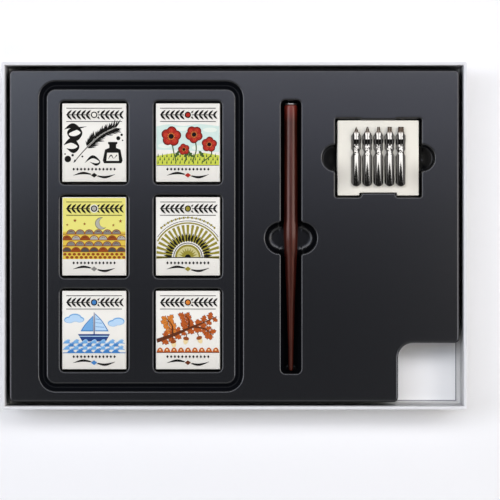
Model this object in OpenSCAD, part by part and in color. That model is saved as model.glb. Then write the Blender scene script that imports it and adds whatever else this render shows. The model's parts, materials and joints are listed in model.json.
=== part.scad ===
// Calligraphy set in an open card box: a formed plastic tray holds six cartons of ink,
// a turned wooden pen holder and five steel nibs on a small card box.
// Millimetres. The origin is the centre of the underside. X runs along the long side,
// Y along the short side and away from the cut-out corner, and Z points up.

/* [Box base] */
// Thickness of the greyboard
board_t = 1.6; // [1.2:0.1:2.4]
// Thickness of the covering paper
paper_t = 0.2; // [0.15:0.05:0.4]
// Depth to which the covering paper is turned in over the rim
turn_in = 16; // [8:1:22]
// Height of the rim above the top face of the tray
rim_h = 2; // [1:0.5:6]
// Gap round the floor lining
lining_gap = 0.4; // [0.2:0.1:1]

/* [Tray] */
// Thickness of the plastic sheet
sheet_t = 0.8; // [0.5:0.05:1]
// Width of the flange round the foot of the tray
flange_w = 1.75; // [1:0.25:3]
// Gap between the flange and the box wall
tray_gap = 0.75; // [0.5:0.05:1.5]
// Corner radius of the tray
tray_r = 3; // [2:0.5:8]
// Length of the cut-out corner, along X
notch_l = 40; // [25:1:48]
// Width of the cut-out corner, along Y
notch_w = 38.4; // [25:0.2:48]
// Radius inside the cut-out corner
notch_r = 8.4; // [5:0.2:15]
// Face left of the carton field, along X
left_margin = 19.55; // [12:0.05:30]
// Face beyond the carton field, along Y
far_margin = 7.9; // [5:0.1:20]
// Face before the carton field, along Y
near_margin = 7.3; // [5:0.1:20]
// Face right of the nib pocket, along X
right_margin = 24.3; // [18:0.1:40]

/* [Carton field] */
// Width of a carton, along X
carton_l = 41.5; // [38:0.5:50]
// Height of a carton face, along Y
carton_w = 50.6; // [46:0.2:60]
// Depth of a carton, along Z
carton_d = 27.5; // [24:0.5:36]
// Gap between a carton and its pocket on each side, along X
carton_gap_x = 1.3; // [0.6:0.1:2.5]
// Gap between a carton and its pocket at each end, along Y
carton_gap_y = 1.55; // [0.6:0.05:2.5]
// Depth of a carton face below the top of the tray
carton_drop = 0.7; // [0.3:0.1:3]
// Corner radius of a carton pocket
pocket_r = 3; // [1:0.5:6]
// Bridge between two pockets, along X
bridge_x = 16.5; // [10:0.5:24]
// Bridge between two pockets, along Y
bridge_y = 6.9; // [4:0.1:14]
// Plateau between the pockets and the groove, along X
plateau_x = 8.9; // [6:0.1:16]
// Plateau between the pockets and the groove, along Y
plateau_y = 8.05; // [6:0.05:16]
// Corner radius of the plateau inside the groove
plateau_r = 6.2; // [3:0.2:12]
// Width of the groove
groove_w = 4.4; // [3:0.1:7]
// Depth of the groove
groove_d = 3; // [1.5:0.5:6]

/* [Ink bottles] */
// Thickness of the carton board
carton_t = 0.4; // [0.3:0.05:0.8]
// Gap between a bottle and the carton on each side
bottle_side_gap = 0.85; // [0.4:0.05:3]
// Gap between a bottle and the carton at its front and base
bottle_gap = 0.4; // [0.2:0.1:0.8]
// Height of the bottle up to its shoulder
bottle_h = 33; // [26:0.5:36]
// Thickness of the glass
glass_t = 3; // [2:0.25:4]
// Corner radius of a bottle
bottle_r = 4; // [2:0.5:8]
// Radius of the bottle's neck
neck_r = 8.3; // [6:0.1:9]
// Radius of the hole in the neck
neck_bore_r = 5.5; // [3:0.5:6]
// Share of the bottle's depth that the ink fills
ink_share = 0.8; // [0.4:0.05:0.95]
// Thickness of the cap's wall
cap_t = 2.5; // [1:0.1:3]
// Thickness of the cap's top
cap_top_t = 1.6; // [1:0.1:2.5]
// Gap between the cap and the bottle's neck and shoulder
cap_gap = 0.2; // [0.1:0.05:0.5]
// Thickness of the sealing disc in the cap
seal_t = 1; // [0.6:0.1:1.6]

/* [Pen] */
// Length of the pen holder with its ferrule
pen_l = 174; // [150:1:180]
// Radius at the belly, the thickest place
belly_r = 4.75; // [4.6:0.05:5.4]
// Distance of the belly from the end that takes the nib
belly_at = 87; // [60:1:110]
// Thickness of the wood round the ferrule
wood_t = 0.47; // [0.4:0.01:0.5]
// Power of the curve that tapers the wood from its belly to its tail
taper_power = 1.4; // [1:0.1:2]
// Radius at the tail
tail_r = 1.5; // [1:0.1:2.5]
// Bevel on the wood at the end that takes the nib
wood_bevel = 0.3; // [0.1:0.05:0.35]
// Distance that the ferrule stands out of the wood
ferrule_out = 1.2; // [0.6:0.1:4]
// Length of the ferrule inside the wood
ferrule_in = 14; // [8:1:20]
// Thickness of the ferrule's steel
ferrule_t = 0.33; // [0.2:0.01:0.36]
// Gap between the nib and the metal on each side of it
nib_play = 0.07; // [0.05:0.01:0.12]
// Gap between the ferrule and the wood
press_gap = 0.03; // [0.02:0.01:0.05]
// Thickness of the crown inside the ferrule
crown_t = 0.3; // [0.2:0.05:0.5]
// Width of the four slots in the crown
crown_slot = 0.8; // [0.5:0.1:1.5]

/* [Pen slot] */
// Face between the carton field and the pen slot, along X
pen_face = 24.75; // [20:0.05:40]
// Place of the pen slot's middle, along Y
pen_y = -1; // [-5:0.5:5]
// Width of the pen slot
slot_w = 13.2; // [11:0.2:18]
// Gap between the pen and each end of its slot
slot_end_gap = 1.5; // [1:0.1:8]
// Corner radius of the pen slot
slot_r = 1.8; // [1:0.1:4]
// Depth of the pen below the top of the tray
pen_drop = 2; // [1:0.1:4]
// Gap between the pen's belly and the floor of its slot
pen_seat_gap = 0.2; // [0.1:0.05:0.4]
// Radius of the finger recess
recess_r = 11; // [9:0.5:12]
// Place of the finger recess, along Y
recess_y = -1.4; // [-10:0.2:10]
// Depth of the finger recess below the floor of the slot
recess_extra = 1.3; // [0.5:0.1:4]
// Rounding where a recess runs into its slot or pocket
recess_fillet = 1.5; // [1.1:0.1:3]
// Inward slope at the foot of a recess
bowl_in = 3; // [1:0.5:4]
// Height of the slope at the foot of a recess
bowl_h = 4; // [2:0.5:6]

/* [Nibs and nib box] */
// Width of each nib's tip, one value per nib
tip_w = [0.5, 1.0, 1.6, 2.4, 3.2];
// Length of a nib
nib_l = 38.5; // [34:0.5:42]
// Outer radius of a nib's half tube
nib_r = 3.45; // [3.2:0.05:3.5]
// Thickness of a nib's steel
nib_t = 0.3; // [0.2:0.05:0.4]
// Gap between two nibs
nib_space = 0.3; // [0.2:0.1:2]
// Place of the waist's middle, from the end of the shank
waist_at = 20.2; // [16:0.2:23]
// Width of a nib at its waist
waist_w = 5; // [4:0.1:6]
// Radius of the curves that form the waist
waist_r = 3; // [2:0.25:5]
// Distance of the shoulders from the tip
shoulder_at = 7; // [5:0.25:8]
// Height of the shoulders' bevel
shoulder_h = 1.5; // [0.5:0.1:2]
// Narrowing at the shoulders' bevel on each side
shoulder_in = 0.25; // [0.1:0.05:0.6]
// Length of the tip with nearly straight sides
tip_land = 2.6; // [1:0.1:3]
// Widening of the tip over that length, on each side
tip_flare = 0.25; // [0.05:0.05:0.5]
// Radius of the vent hole
vent_r = 0.6; // [0.4:0.05:1]
// Distance of the vent hole from the tip
vent_at = 11; // [8:0.5:13]
// Width of the slit
slit_w = 0.16; // [0.1:0.02:0.3]
// Card at each side of the row of nibs
card_side = 8.4; // [5:0.1:14]
// Card beyond the tips of the nibs
card_tip_end = 4.4; // [2:0.1:8]
// Card before the shanks of the nibs
card_shank_end = 5.7; // [3:0.1:10]
// Thickness of the nib box's card
card_t = 0.5; // [0.4:0.05:0.8]
// Height of the nib box with its card
nib_box_h = 11.9; // [8:0.1:14]
// Height of the flaps that hold the card in the nib box
flap_h = 6; // [3:0.5:7]
// Gap between the flaps and the walls of the nib box
flap_gap = 0.1; // [0.05:0.05:0.3]

/* [Nib pocket] */
// Face between the pen slot and the nib pocket, along X
nib_face = 21.9; // [20:0.1:36]
// Face beyond the nib pocket, along Y
nib_far = 31.5; // [20:0.5:45]
// Gap between the nib box and its pocket at each side, along X
nib_gap_x = 1.75; // [0.8:0.05:3]
// Gap between the nib box and its pocket at each end, along Y
nib_gap_y = 1.2; // [1.1:0.05:2.5]
// Depth of the card below the top of the tray
nib_drop = 2.1; // [1.6:0.1:3]
// Corner radius of the nib pocket
nib_pocket_r = 1.5; // [1:0.25:4]
// Radius of the thumb recesses
thumb_r = 8.4; // [7:0.2:10]
// Depth of the thumb recesses
thumb_d = 11; // [8:0.5:13]
// Width of the lugs that hold the nib box
lug_l = 21; // [14:0.5:28]
// Slope at each end of a lug
lug_slope = 1.4; // [1:0.1:2.5]
// Distance that the near lug stands into the pocket
near_lug = 2.7; // [1.5:0.1:3.5]
// Distance that the far lug stands into the pocket
far_lug = 0.8; // [0.4:0.1:0.8]
// Gap between the near lug and the relief in the nib box
lug_gap = 0.3; // [0.2:0.05:0.8]

/* [Hidden] */
$fn = 64;
// Overlap by which a cut runs past the face that it starts from
past = 1;
// Overlap by which a rounding runs into the sides that it joins
blend = 0.005;
inks = ["black", "red", "silver", "gold", "blue", "brown"];
nib_n = len(tip_w);

// Colours of the pieces
paper_colour = "#eeeeec";
board_colour = "#e2e1de";
tray_colour = "#232428";
ink_colour = ["#141416", "#8e1f1d", "#9a9c9f", "#8f7a35", "#1f5fa8", "#7a4020"];
card_colour = "#ece8da";
steel_colour = "#c9cacc";
wood_colour = "#4a1f1c";

// Heights
base_top = board_t + 2 * paper_t;
wall_t = board_t + 2 * paper_t;
tray_h = sheet_t + carton_d + carton_drop;
tray_top = base_top + tray_h;
box_h = tray_top + rim_h;

// Carton field: two columns and three rows of pockets inside a groove
columns = 2;
rows = 3;
pocket_l = carton_l + 2 * carton_gap_x;
pocket_w = carton_w + 2 * carton_gap_y;
pitch_x = pocket_l + bridge_x;
pitch_y = pocket_w + bridge_y;
plateau_l = (columns - 1) * pitch_x + pocket_l + 2 * plateau_x;
plateau_w = (rows - 1) * pitch_y + pocket_w + 2 * plateau_y;
field_l = plateau_l + 2 * groove_w;
field_w = plateau_w + 2 * groove_w;

// Nib box and its pocket
nib_w = 2 * nib_r;
nib_pitch = nib_w + nib_space;
nib_box_l = (nib_n - 1) * nib_pitch + nib_w + 2 * card_side;
nib_box_w = nib_l + card_tip_end + card_shank_end;
nib_pocket_l = nib_box_l + 2 * nib_gap_x;
nib_pocket_w = nib_box_w + 2 * nib_gap_y;
nib_pocket_d = nib_drop + nib_box_h;

// Tray and box, sized by what they hold
tray_l = left_margin + field_l + pen_face + slot_w + nib_face + nib_pocket_l + right_margin;
tray_w = near_margin + field_w + far_margin;
box_l = tray_l + 2 * (flange_w + tray_gap + wall_t);
box_w = tray_w + 2 * (flange_w + tray_gap + wall_t);

// Places of the pockets, from the tray's edges
field_x = -tray_l / 2 + left_margin + field_l / 2;
field_y = -tray_w / 2 + near_margin + field_w / 2;
pen_x = field_x + field_l / 2 + pen_face + slot_w / 2;
nib_x = pen_x + slot_w / 2 + nib_face + nib_pocket_l / 2;
nib_y = tray_w / 2 - nib_far - nib_pocket_w / 2;
nib_floor_z = tray_top - nib_pocket_d;
card_top = tray_top - nib_drop;

// Pen slot
slot_l = pen_l + 2 * slot_end_gap;
slot_d = pen_drop + 2 * belly_r + pen_seat_gap;
pen_z = tray_top - pen_drop - belly_r;

// Wood of the pen, measured from its tail, and the points that draw its curves
wood_l = pen_l - ferrule_out;
belly_z = pen_l - belly_at;
curve_steps = 12;
tail_steps = 6;

// Ferrule and crown
ferrule_bore_r = nib_r + nib_play;
ferrule_r = ferrule_bore_r + ferrule_t;
crown_r = nib_r - nib_t - nib_play;
wood_end_r = ferrule_r + press_gap + wood_t;

// Bottle and cap
bottle_l = carton_l - 2 * carton_t - 2 * bottle_side_gap;
bottle_d = carton_d - 2 * carton_t - bottle_gap;
cap_bore_r = neck_r + cap_gap;
neck_h = carton_w - 2 * carton_t - 2 * bottle_gap - bottle_h - cap_top_t - seal_t;

// Place of each carton: left to right, then from the far row to the near one
function carton_place(i) = [
    field_x + (i % columns - (columns - 1) / 2) * pitch_x,
    field_y + ((rows - 1) / 2 - floor(i / columns)) * pitch_y,
    base_top + sheet_t
];

// Rectangle with round corners, about its middle
module round_rect(l, w, r) {
    square([l - 2 * r, w], center = true);
    square([l, w - 2 * r], center = true);
    for (x = [-1, 1], y = [-1, 1])
        translate([x * (l / 2 - r), y * (w / 2 - r)]) circle(r = r);
}

// Block with its middle on the Z axis, from the height z up
module block(l, w, z, h) {
    translate([-l / 2, -w / 2, z]) cube([l, w, h]);
}

// Round recess on the edge of a slot, with roundings where its sides meet the edge
module recess_plan(edge, r, grow) {
    reach = r + recess_fillet;
    fillet_x = edge + recess_fillet;
    fillet_y = sqrt(reach * reach - recess_fillet * recess_fillet);
    translate([edge, 0]) circle(r = r + grow);
    for (flip = [0, 1]) mirror([0, flip]) difference() {
        polygon([[edge - past, 0], [edge, 0], [fillet_x, fillet_y], [edge - past, fillet_y]]);
        translate([fillet_x, fillet_y]) circle(r = recess_fillet - grow + blend);
    }
}

// Pair of recesses at both edges of a slot or pocket, down to the depth d, with a sloped foot
module recess_pair(edge, r, d, grow, above) {
    for (flip = [0, 1]) mirror([flip, 0, 0]) {
        translate([0, 0, -d + bowl_h]) linear_extrude(d - bowl_h + above) recess_plan(edge, r, grow);
        translate([edge, 0, -d - grow]) cylinder(r1 = r - bowl_in + grow, r2 = r + grow, h = bowl_h + grow);
    }
}

// BOX BASE

module box_board() {
    color(board_colour) difference() {
        block(box_l - 2 * paper_t, box_w - 2 * paper_t, paper_t, box_h - 2 * paper_t);
        block(box_l - 2 * paper_t - 2 * board_t, box_w - 2 * paper_t - 2 * board_t,
            paper_t + board_t, box_h);
    }
}

// Paper over the outside, the rim and the upper part of the inside
module box_wrap() {
    color(paper_colour) {
        difference() {
            block(box_l, box_w, paper_t, box_h - paper_t);
            block(box_l - 2 * paper_t, box_w - 2 * paper_t, 0, box_h - paper_t);
            block(box_l - 2 * wall_t, box_w - 2 * wall_t, 0, box_h + past);
        }
        difference() {
            block(box_l - 2 * wall_t + 2 * paper_t, box_w - 2 * wall_t + 2 * paper_t,
                box_h - turn_in, turn_in);
            block(box_l - 2 * wall_t, box_w - 2 * wall_t, 0, box_h + past);
        }
    }
}

module box_bottom_sheet() {
    color(paper_colour) block(box_l, box_w, 0, paper_t);
}

module box_floor_lining() {
    inset = paper_t + board_t + lining_gap;
    color(paper_colour) block(box_l - 2 * inset, box_w - 2 * inset, paper_t + board_t, paper_t);
}

// TRAY

// Outline of the tray with its cut-out corner, grown or shrunk all round
module tray_plan(grow) {
    notch_x = tray_l / 2 - notch_l + grow;
    notch_y = -tray_w / 2 + notch_w - grow;
    inner_r = notch_r - grow;
    far_w = tray_w / 2 + grow - notch_y;
    left_l = tray_l / 2 + grow + notch_x;
    translate([0, notch_y + far_w / 2]) round_rect(tray_l + 2 * grow, far_w, tray_r + grow);
    translate([notch_x - left_l / 2, 0]) round_rect(left_l, tray_w + 2 * grow, tray_r + grow);
    difference() {
        translate([notch_x - past, notch_y - inner_r]) square(inner_r + past);
        translate([notch_x + inner_r, notch_y - inner_r]) circle(r = inner_r + blend);
    }
}

// Groove round the carton field, between its outer wall and the plateau
module groove_plan(grow) {
    difference() {
        round_rect(field_l + 2 * grow, field_w + 2 * grow, plateau_r + groove_w + grow);
        round_rect(plateau_l - 2 * grow, plateau_w - 2 * grow, plateau_r - grow);
    }
}

// Lugs at the near and the far edge of the nib pocket
module lug_plan(out, grow) {
    tip = lug_l / 2 - grow;
    foot = tip + lug_slope;
    edge = nib_pocket_w / 2 + grow;
    polygon([[-foot, edge + past], [-foot, edge], [-tip, edge - out], [tip, edge - out],
        [foot, edge], [foot, edge + past]]);
}

module nib_pocket_plan(grow) {
    difference() {
        round_rect(nib_pocket_l + 2 * grow, nib_pocket_w + 2 * grow, nib_pocket_r + grow);
        lug_plan(far_lug, grow);
        mirror([0, 1]) lug_plan(near_lug, grow);
    }
}

// Room of every groove, slot and pocket. Grown by the sheet, it is the outside of their tubs.
module tray_rooms(grow, above) {
    translate([field_x, field_y, tray_top - groove_d - grow])
        linear_extrude(groove_d + grow + above) groove_plan(grow);
    for (i = [0 : len(inks) - 1])
        translate(carton_place(i) - [0, 0, grow])
            linear_extrude(tray_h - sheet_t + grow + above)
                round_rect(pocket_l + 2 * grow, pocket_w + 2 * grow, pocket_r + grow);
    translate([pen_x, pen_y, tray_top - slot_d - grow])
        linear_extrude(slot_d + grow + above)
            round_rect(slot_w + 2 * grow, slot_l + 2 * grow, slot_r + grow);
    translate([pen_x, recess_y, tray_top])
        recess_pair(slot_w / 2, recess_r, slot_d + recess_extra, grow, above);
    translate([nib_x, nib_y, tray_top - nib_pocket_d - grow])
        linear_extrude(nib_pocket_d + grow + above) nib_pocket_plan(grow);
    translate([nib_x, nib_y, tray_top])
        recess_pair(nib_pocket_l / 2, thumb_r, thumb_d, grow, above);
}

module tray() {
    color(tray_colour) difference() {
        union() {
            difference() {
                union() {
                    translate([0, 0, base_top]) linear_extrude(tray_h) tray_plan(0);
                    translate([0, 0, base_top]) linear_extrude(sheet_t) tray_plan(flange_w);
                }
                translate([0, 0, base_top - past]) linear_extrude(tray_h - sheet_t + past)
                    tray_plan(-sheet_t);
            }
            tray_rooms(sheet_t, 0);
        }
        tray_rooms(0, past);
    }
}

// CARTONS WITH THEIR BOTTLES

module carton(i) {
    color(card_colour) translate(carton_place(i)) difference() {
        block(carton_l, carton_w, 0, carton_d);
        block(carton_l - 2 * carton_t, carton_w - 2 * carton_t, carton_t, carton_d - 2 * carton_t);
    }
}

// Puts a bottle's piece into its carton: it lies on its back, with its neck away along Y
module lay_bottle(i) {
    translate(carton_place(i))
        translate([0, carton_t + bottle_gap - carton_w / 2, carton_t + bottle_d / 2])
            rotate([-90, 0, 0]) children();
}

module bottle_plan(shrink, r) {
    round_rect(bottle_l - 2 * shrink, bottle_d - 2 * shrink, r);
}

module bottle(i) {
    color("#a8b4b8") lay_bottle(i) difference() {
        union() {
            linear_extrude(bottle_h) bottle_plan(0, bottle_r);
            translate([0, 0, bottle_h - past]) cylinder(r = neck_r, h = neck_h + past);
        }
        translate([0, 0, glass_t]) linear_extrude(bottle_h - 2 * glass_t) bottle_plan(glass_t, bottle_r / 2);
        translate([0, 0, bottle_h / 2]) cylinder(r = neck_bore_r, h = bottle_h / 2 + neck_h + past);
    }
}

// The ink lies level in the glass, in the part that is lowest while the bottle lies down
module ink(i) {
    shrink = glass_t + press_gap;
    level = ink_share * (bottle_d - 2 * shrink);
    color(ink_colour[i]) lay_bottle(i) intersection() {
        translate([0, 0, shrink]) linear_extrude(bottle_h - 2 * shrink) bottle_plan(shrink, bottle_r / 2);
        translate([-bottle_l / 2, bottle_d / 2 - shrink - level, 0]) cube([bottle_l, bottle_d, bottle_h]);
    }
}

module cap(i) {
    cap_h = neck_h - cap_gap + seal_t + cap_top_t;
    color("#1b1b1c") lay_bottle(i) difference() {
        translate([0, 0, bottle_h + cap_gap]) cylinder(r = cap_bore_r + cap_t, h = cap_h);
        translate([0, 0, bottle_h]) cylinder(r = cap_bore_r, h = neck_h + seal_t);
    }
}

module cap_seal(i) {
    color("#d8d4c8") lay_bottle(i) translate([0, 0, bottle_h + neck_h]) cylinder(r = neck_r, h = seal_t);
}

// PEN

// Puts a pen's piece into its slot: its own axis is Z, with the tail at zero
module lay_pen() {
    translate([pen_x, pen_y - pen_l / 2, pen_z]) rotate([-90, 0, 0]) children();
}

// Half profile of the wood: a round tail, a hollow taper up to the belly, and a gentle swell
wood_profile = concat(
    [for (k = [0 : tail_steps - 1]) let (turn = 90 * k / tail_steps)
        [tail_r * sin(turn), tail_r * (1 - cos(turn))]],
    [for (k = [0 : curve_steps]) let (u = k / curve_steps)
        [tail_r + (belly_r - tail_r) * pow(u, taper_power), tail_r + u * (belly_z - tail_r)]],
    [for (k = [1 : curve_steps]) let (u = k / curve_steps)
        [belly_r - (belly_r - wood_end_r) * sin(90 * u), belly_z + u * (wood_l - wood_bevel - belly_z)]],
    [[wood_end_r - wood_bevel, wood_l], [0, wood_l]]
);

module pen_handle() {
    color(wood_colour) lay_pen() difference() {
        rotate_extrude() polygon(wood_profile);
        translate([0, 0, wood_l - ferrule_in]) cylinder(r = ferrule_r + press_gap, h = ferrule_in + past);
    }
}

module pen_ferrule() {
    color(steel_colour) lay_pen() translate([0, 0, wood_l - ferrule_in]) difference() {
        cylinder(r = ferrule_r, h = ferrule_in + ferrule_out);
        translate([0, 0, -past]) cylinder(r = ferrule_bore_r, h = ferrule_in + ferrule_out + 2 * past);
    }
}

// Four springy tongues on a base plate, inside the ferrule
module pen_crown() {
    crown_l = ferrule_in + ferrule_out;
    base_r = ferrule_bore_r - press_gap;
    color(steel_colour) lay_pen() translate([0, 0, wood_l - ferrule_in]) {
        cylinder(r = base_r, h = crown_t);
        difference() {
            cylinder(r = crown_r, h = crown_l);
            translate([0, 0, crown_t]) cylinder(r = crown_r - crown_t, h = crown_l);
            for (turn = [0, 90])
                rotate([0, 0, turn]) block(crown_slot, 2 * base_r, 2 * crown_t, crown_l);
        }
    }
}

// NIB BOX AND NIBS

// Outline of the nib box, with a relief at its near edge for the lug
module nib_box_plan(shrink) {
    relief = near_lug - nib_gap_y + lug_gap + shrink;
    relief_l = lug_l + 2 * lug_slope + 2 * lug_gap + 2 * shrink;
    difference() {
        square([nib_box_l - 2 * shrink, nib_box_w - 2 * shrink], center = true);
        translate([-relief_l / 2, -nib_box_w / 2 - past]) square([relief_l, relief + past]);
    }
}

module nib_box() {
    color(card_colour) translate([nib_x, nib_y, nib_floor_z]) difference() {
        linear_extrude(nib_box_h - card_t) nib_box_plan(0);
        translate([0, 0, card_t]) linear_extrude(nib_box_h) nib_box_plan(card_t);
    }
}

// Card that closes the nib box and carries the nibs, with flaps down inside the walls
module nib_card() {
    flap_in = card_t + flap_gap;
    color(card_colour) translate([nib_x, nib_y, card_top - card_t]) {
        linear_extrude(card_t) nib_box_plan(0);
        translate([0, 0, -flap_h]) linear_extrude(flap_h) difference() {
            nib_box_plan(flap_in);
            nib_box_plan(flap_in + card_t);
        }
    }
}

// Outline of a nib from above, from the end of its shank at zero to its tip
module nib_plan(tip) {
    body_end = nib_l - shoulder_at;
    half = [
        [nib_r, nib_r], [nib_r, body_end], [nib_r - shoulder_in, body_end + shoulder_h],
        [tip / 2 + tip_flare, nib_l - tip_land], [tip / 2, nib_l]
    ];
    other_half = [for (k = [len(half) - 1 : -1 : 0]) [-half[k][0], half[k][1]]];
    difference() {
        union() {
            translate([0, nib_r]) circle(r = nib_r);
            polygon(concat(half, other_half));
        }
        for (x = [-1, 1]) translate([x * (waist_w / 2 + waist_r), waist_at]) circle(r = waist_r);
        translate([0, nib_l - vent_at]) circle(r = vent_r);
        translate([-slit_w / 2, nib_l - vent_at]) square([slit_w, vent_at + past]);
    }
}

// A nib lies on the card with its hollow side down: half a tube, cut to its outline
module nib(i) {
    middle = nib_x + (i - (nib_n - 1) / 2) * nib_pitch;
    color(steel_colour) translate([middle, nib_y - nib_box_w / 2 + card_shank_end, card_top]) intersection() {
        linear_extrude(nib_r + past) nib_plan(tip_w[i]);
        translate([0, -past, 0]) rotate([-90, 0, 0]) difference() {
            cylinder(r = nib_r, h = nib_l + 2 * past);
            translate([0, 0, -past]) cylinder(r = nib_r - nib_t, h = nib_l + 4 * past);
        }
    }
}

box_board();
box_wrap();
box_bottom_sheet();
box_floor_lining();
tray();
for (i = [0 : len(inks) - 1]) {
    carton(i);
    bottle(i);
    ink(i);
    cap(i);
    cap_seal(i);
}
pen_handle();
pen_ferrule();
pen_crown();
nib_box();
nib_card();
for (i = [0 : nib_n - 1])
    nib(i);
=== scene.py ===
# %% [markdown]
# An open calligraphy set, seen from straight above: a paper-covered card box, a black tray
# formed from one sheet of plastic, six cartons of ink, a dip pen holder and five steel nibs
# on a small card box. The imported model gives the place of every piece, so each new mesh
# here is measured from the box of the piece that it stands for.

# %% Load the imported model
import json
import math

import bmesh
import bpy
from mathutils import Matrix, Vector
from mathutils.geometry import delaunay_2d_cdt

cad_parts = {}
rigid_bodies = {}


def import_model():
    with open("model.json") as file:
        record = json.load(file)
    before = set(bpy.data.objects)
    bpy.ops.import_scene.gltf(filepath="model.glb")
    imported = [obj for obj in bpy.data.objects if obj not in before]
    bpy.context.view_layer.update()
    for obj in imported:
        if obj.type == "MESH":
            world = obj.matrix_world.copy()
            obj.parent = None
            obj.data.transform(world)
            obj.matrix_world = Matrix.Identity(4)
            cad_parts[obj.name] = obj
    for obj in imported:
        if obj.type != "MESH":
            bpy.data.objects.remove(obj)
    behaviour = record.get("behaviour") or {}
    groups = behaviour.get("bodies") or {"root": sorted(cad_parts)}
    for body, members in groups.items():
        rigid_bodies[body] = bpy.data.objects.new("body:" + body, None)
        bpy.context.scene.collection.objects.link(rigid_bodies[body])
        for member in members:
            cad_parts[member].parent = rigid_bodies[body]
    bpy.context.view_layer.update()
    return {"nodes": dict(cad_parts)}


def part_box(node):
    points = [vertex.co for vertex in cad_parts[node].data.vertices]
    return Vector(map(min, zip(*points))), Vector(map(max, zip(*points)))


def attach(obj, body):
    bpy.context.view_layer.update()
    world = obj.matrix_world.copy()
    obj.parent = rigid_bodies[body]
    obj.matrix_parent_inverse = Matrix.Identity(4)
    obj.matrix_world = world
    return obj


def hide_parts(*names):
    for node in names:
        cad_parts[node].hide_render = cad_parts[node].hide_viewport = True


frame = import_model()
MM = 0.001
INKS = ("black", "red", "silver", "gold", "blue", "brown")


def span(node):
    """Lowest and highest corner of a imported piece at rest, in millimetres."""
    low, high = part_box(node)
    return low / MM, high / MM


box_low, box_high = span("box_wrap")
print("box, mm:", box_low, box_high)

# %% [markdown]
# The camera comes first, because the photograph was taken from straight above. The picture
# is 500 pixels wide and the box measures 465 of them, which gives the width of the view at
# the height of the rim. The inner walls that show inside the rim give the distance.

# %% Camera
PHOTO_PX = 500
MM_PER_PX = 0.6445
CENTRE_PX = (234.25, 235.8)
CAMERA_ABOVE_RIM = 860
SENSOR_MM = 36

scene = bpy.context.scene
scene.view_settings.view_transform = "Standard"
camera_data = bpy.data.cameras.new("camera")
camera_data.sensor_width = SENSOR_MM
camera_data.lens = SENSOR_MM * CAMERA_ABOVE_RIM / (PHOTO_PX * MM_PER_PX)
camera = bpy.data.objects.new("camera", camera_data)
camera.location = (
    (PHOTO_PX / 2 - CENTRE_PX[0]) * MM_PER_PX * MM,
    (CENTRE_PX[1] - PHOTO_PX / 2) * MM_PER_PX * MM,
    (box_high.z + CAMERA_ABOVE_RIM) * MM,
)
scene.collection.objects.link(camera)
scene.camera = camera
print("lens, mm:", round(camera_data.lens, 2))

# %% [markdown]
# The photograph was lit by softboxes above the far side and to the left and right, with a
# dark patch of ceiling round the camera. The flat black sheet mirrors the lamps at its far
# edge and the ceiling at its near edge, which gives the grey-to-black tray. The side lamps
# show in the rolled edges, and a weak near one keeps the near sides from going black. Most
# are faintly blue and the right one is a little warm, as the tray's edges have it in the photo.

# %% Lights
SOFTBOX_HEIGHT = 1.5


def rgb(code):
    """An sRGB hex colour as linear values."""
    channels = [int(code[k:k + 2], 16) / 255 for k in (1, 3, 5)]
    return tuple(c / 12.92 if c <= 0.04045 else ((c + 0.055) / 1.055) ** 2.4 for c in channels) + (1,)


def softbox(name, left, right, near, far, radiance, colour):
    """A flat light overhead, given by its edges in metres and its brightness."""
    lamp = bpy.data.lights.new(name, "AREA")
    lamp.shape = "RECTANGLE"
    lamp.size = right - left
    lamp.size_y = far - near
    lamp.energy = radiance * math.pi * lamp.size * lamp.size_y
    lamp.color = rgb(colour)[:3]
    holder = bpy.data.objects.new(name, lamp)
    holder.location = ((left + right) / 2, (near + far) / 2, SOFTBOX_HEIGHT)
    scene.collection.objects.link(holder)
    return holder


# Each row is a name, the left, right, near and far edge in metres, a brightness and a colour.
SOFTBOXES = (
    ("softbox_middle", -0.26, 1.30, 0.15, 0.45, 1.18, "#dadfff"),
    ("softbox_middle_left", -1.10, -0.26, 0.15, 0.45, 2.0, "#d8e4ff"),
    ("softbox_far", -1.10, 1.40, 0.45, 0.85, 5.1, "#f8f9ff"),
    ("softbox_right", 0.60, 4.00, -0.10, 0.60, 4.4, "#fff9f2"),
    ("softbox_left", -3.60, -0.75, -0.10, 0.60, 4.8, "#f2f5ff"),
    ("softbox_near", -0.80, 1.30, -1.30, -0.50, 1.0, "#ffffff"))
for row in SOFTBOXES:
    softbox(*row)
print("softboxes:", len(SOFTBOXES))

# %% [markdown]
# Every node in the trees below is added by one small function, which takes the node's own
# settings and what goes into its sockets: a plain value, or another node's socket. The short
# functions after it name the few nodes that nearly every finish is made of.


# %% Helpers for all node trees
def add(tree, kind, inputs=None, **settings):
    """Adds a node, sets it, and fills or links its sockets."""
    node = tree.nodes.new(kind)
    for key, value in settings.items():
        setattr(node, key, value)
    for key, value in (inputs or {}).items():
        if isinstance(value, bpy.types.NodeSocket):
            tree.links.new(value, node.inputs[key])
        else:
            node.inputs[key].default_value = value
    return node


def maths(tree, operation, first, second=0.0, third=0.0):
    return add(tree, "ShaderNodeMath", {0: first, 1: second, 2: third}, operation=operation).outputs[0]


def noise(tree, place, grain_mm, detail, **more):
    """Noise between 0 and 1, with grains of about this many millimetres."""
    sockets = {"Vector": place, "Scale": 1 / (grain_mm * MM), "Detail": detail, **more}
    return add(tree, "ShaderNodeTexNoise", sockets).outputs[0]


def ramp(tree, value, low, high, start=0.0, stop=1.0, **settings):
    """Runs from low to high while the value goes from start to stop."""
    sockets = {"Value": value, "From Min": start, "From Max": stop, "To Min": low, "To Max": high}
    return add(tree, "ShaderNodeMapRange", sockets, **settings).outputs["Result"]


def mixed(tree, share, first, second):
    """A colour between two colours."""
    return add(tree, "ShaderNodeMix", {0: share, 6: first, 7: second}, data_type="RGBA").outputs[2]


def bump(tree, height, strength, depth_mm, **more):
    sockets = {"Height": height, "Strength": strength, "Distance": depth_mm * MM, **more}
    return add(tree, "ShaderNodeBump", sockets).outputs[0]


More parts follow.
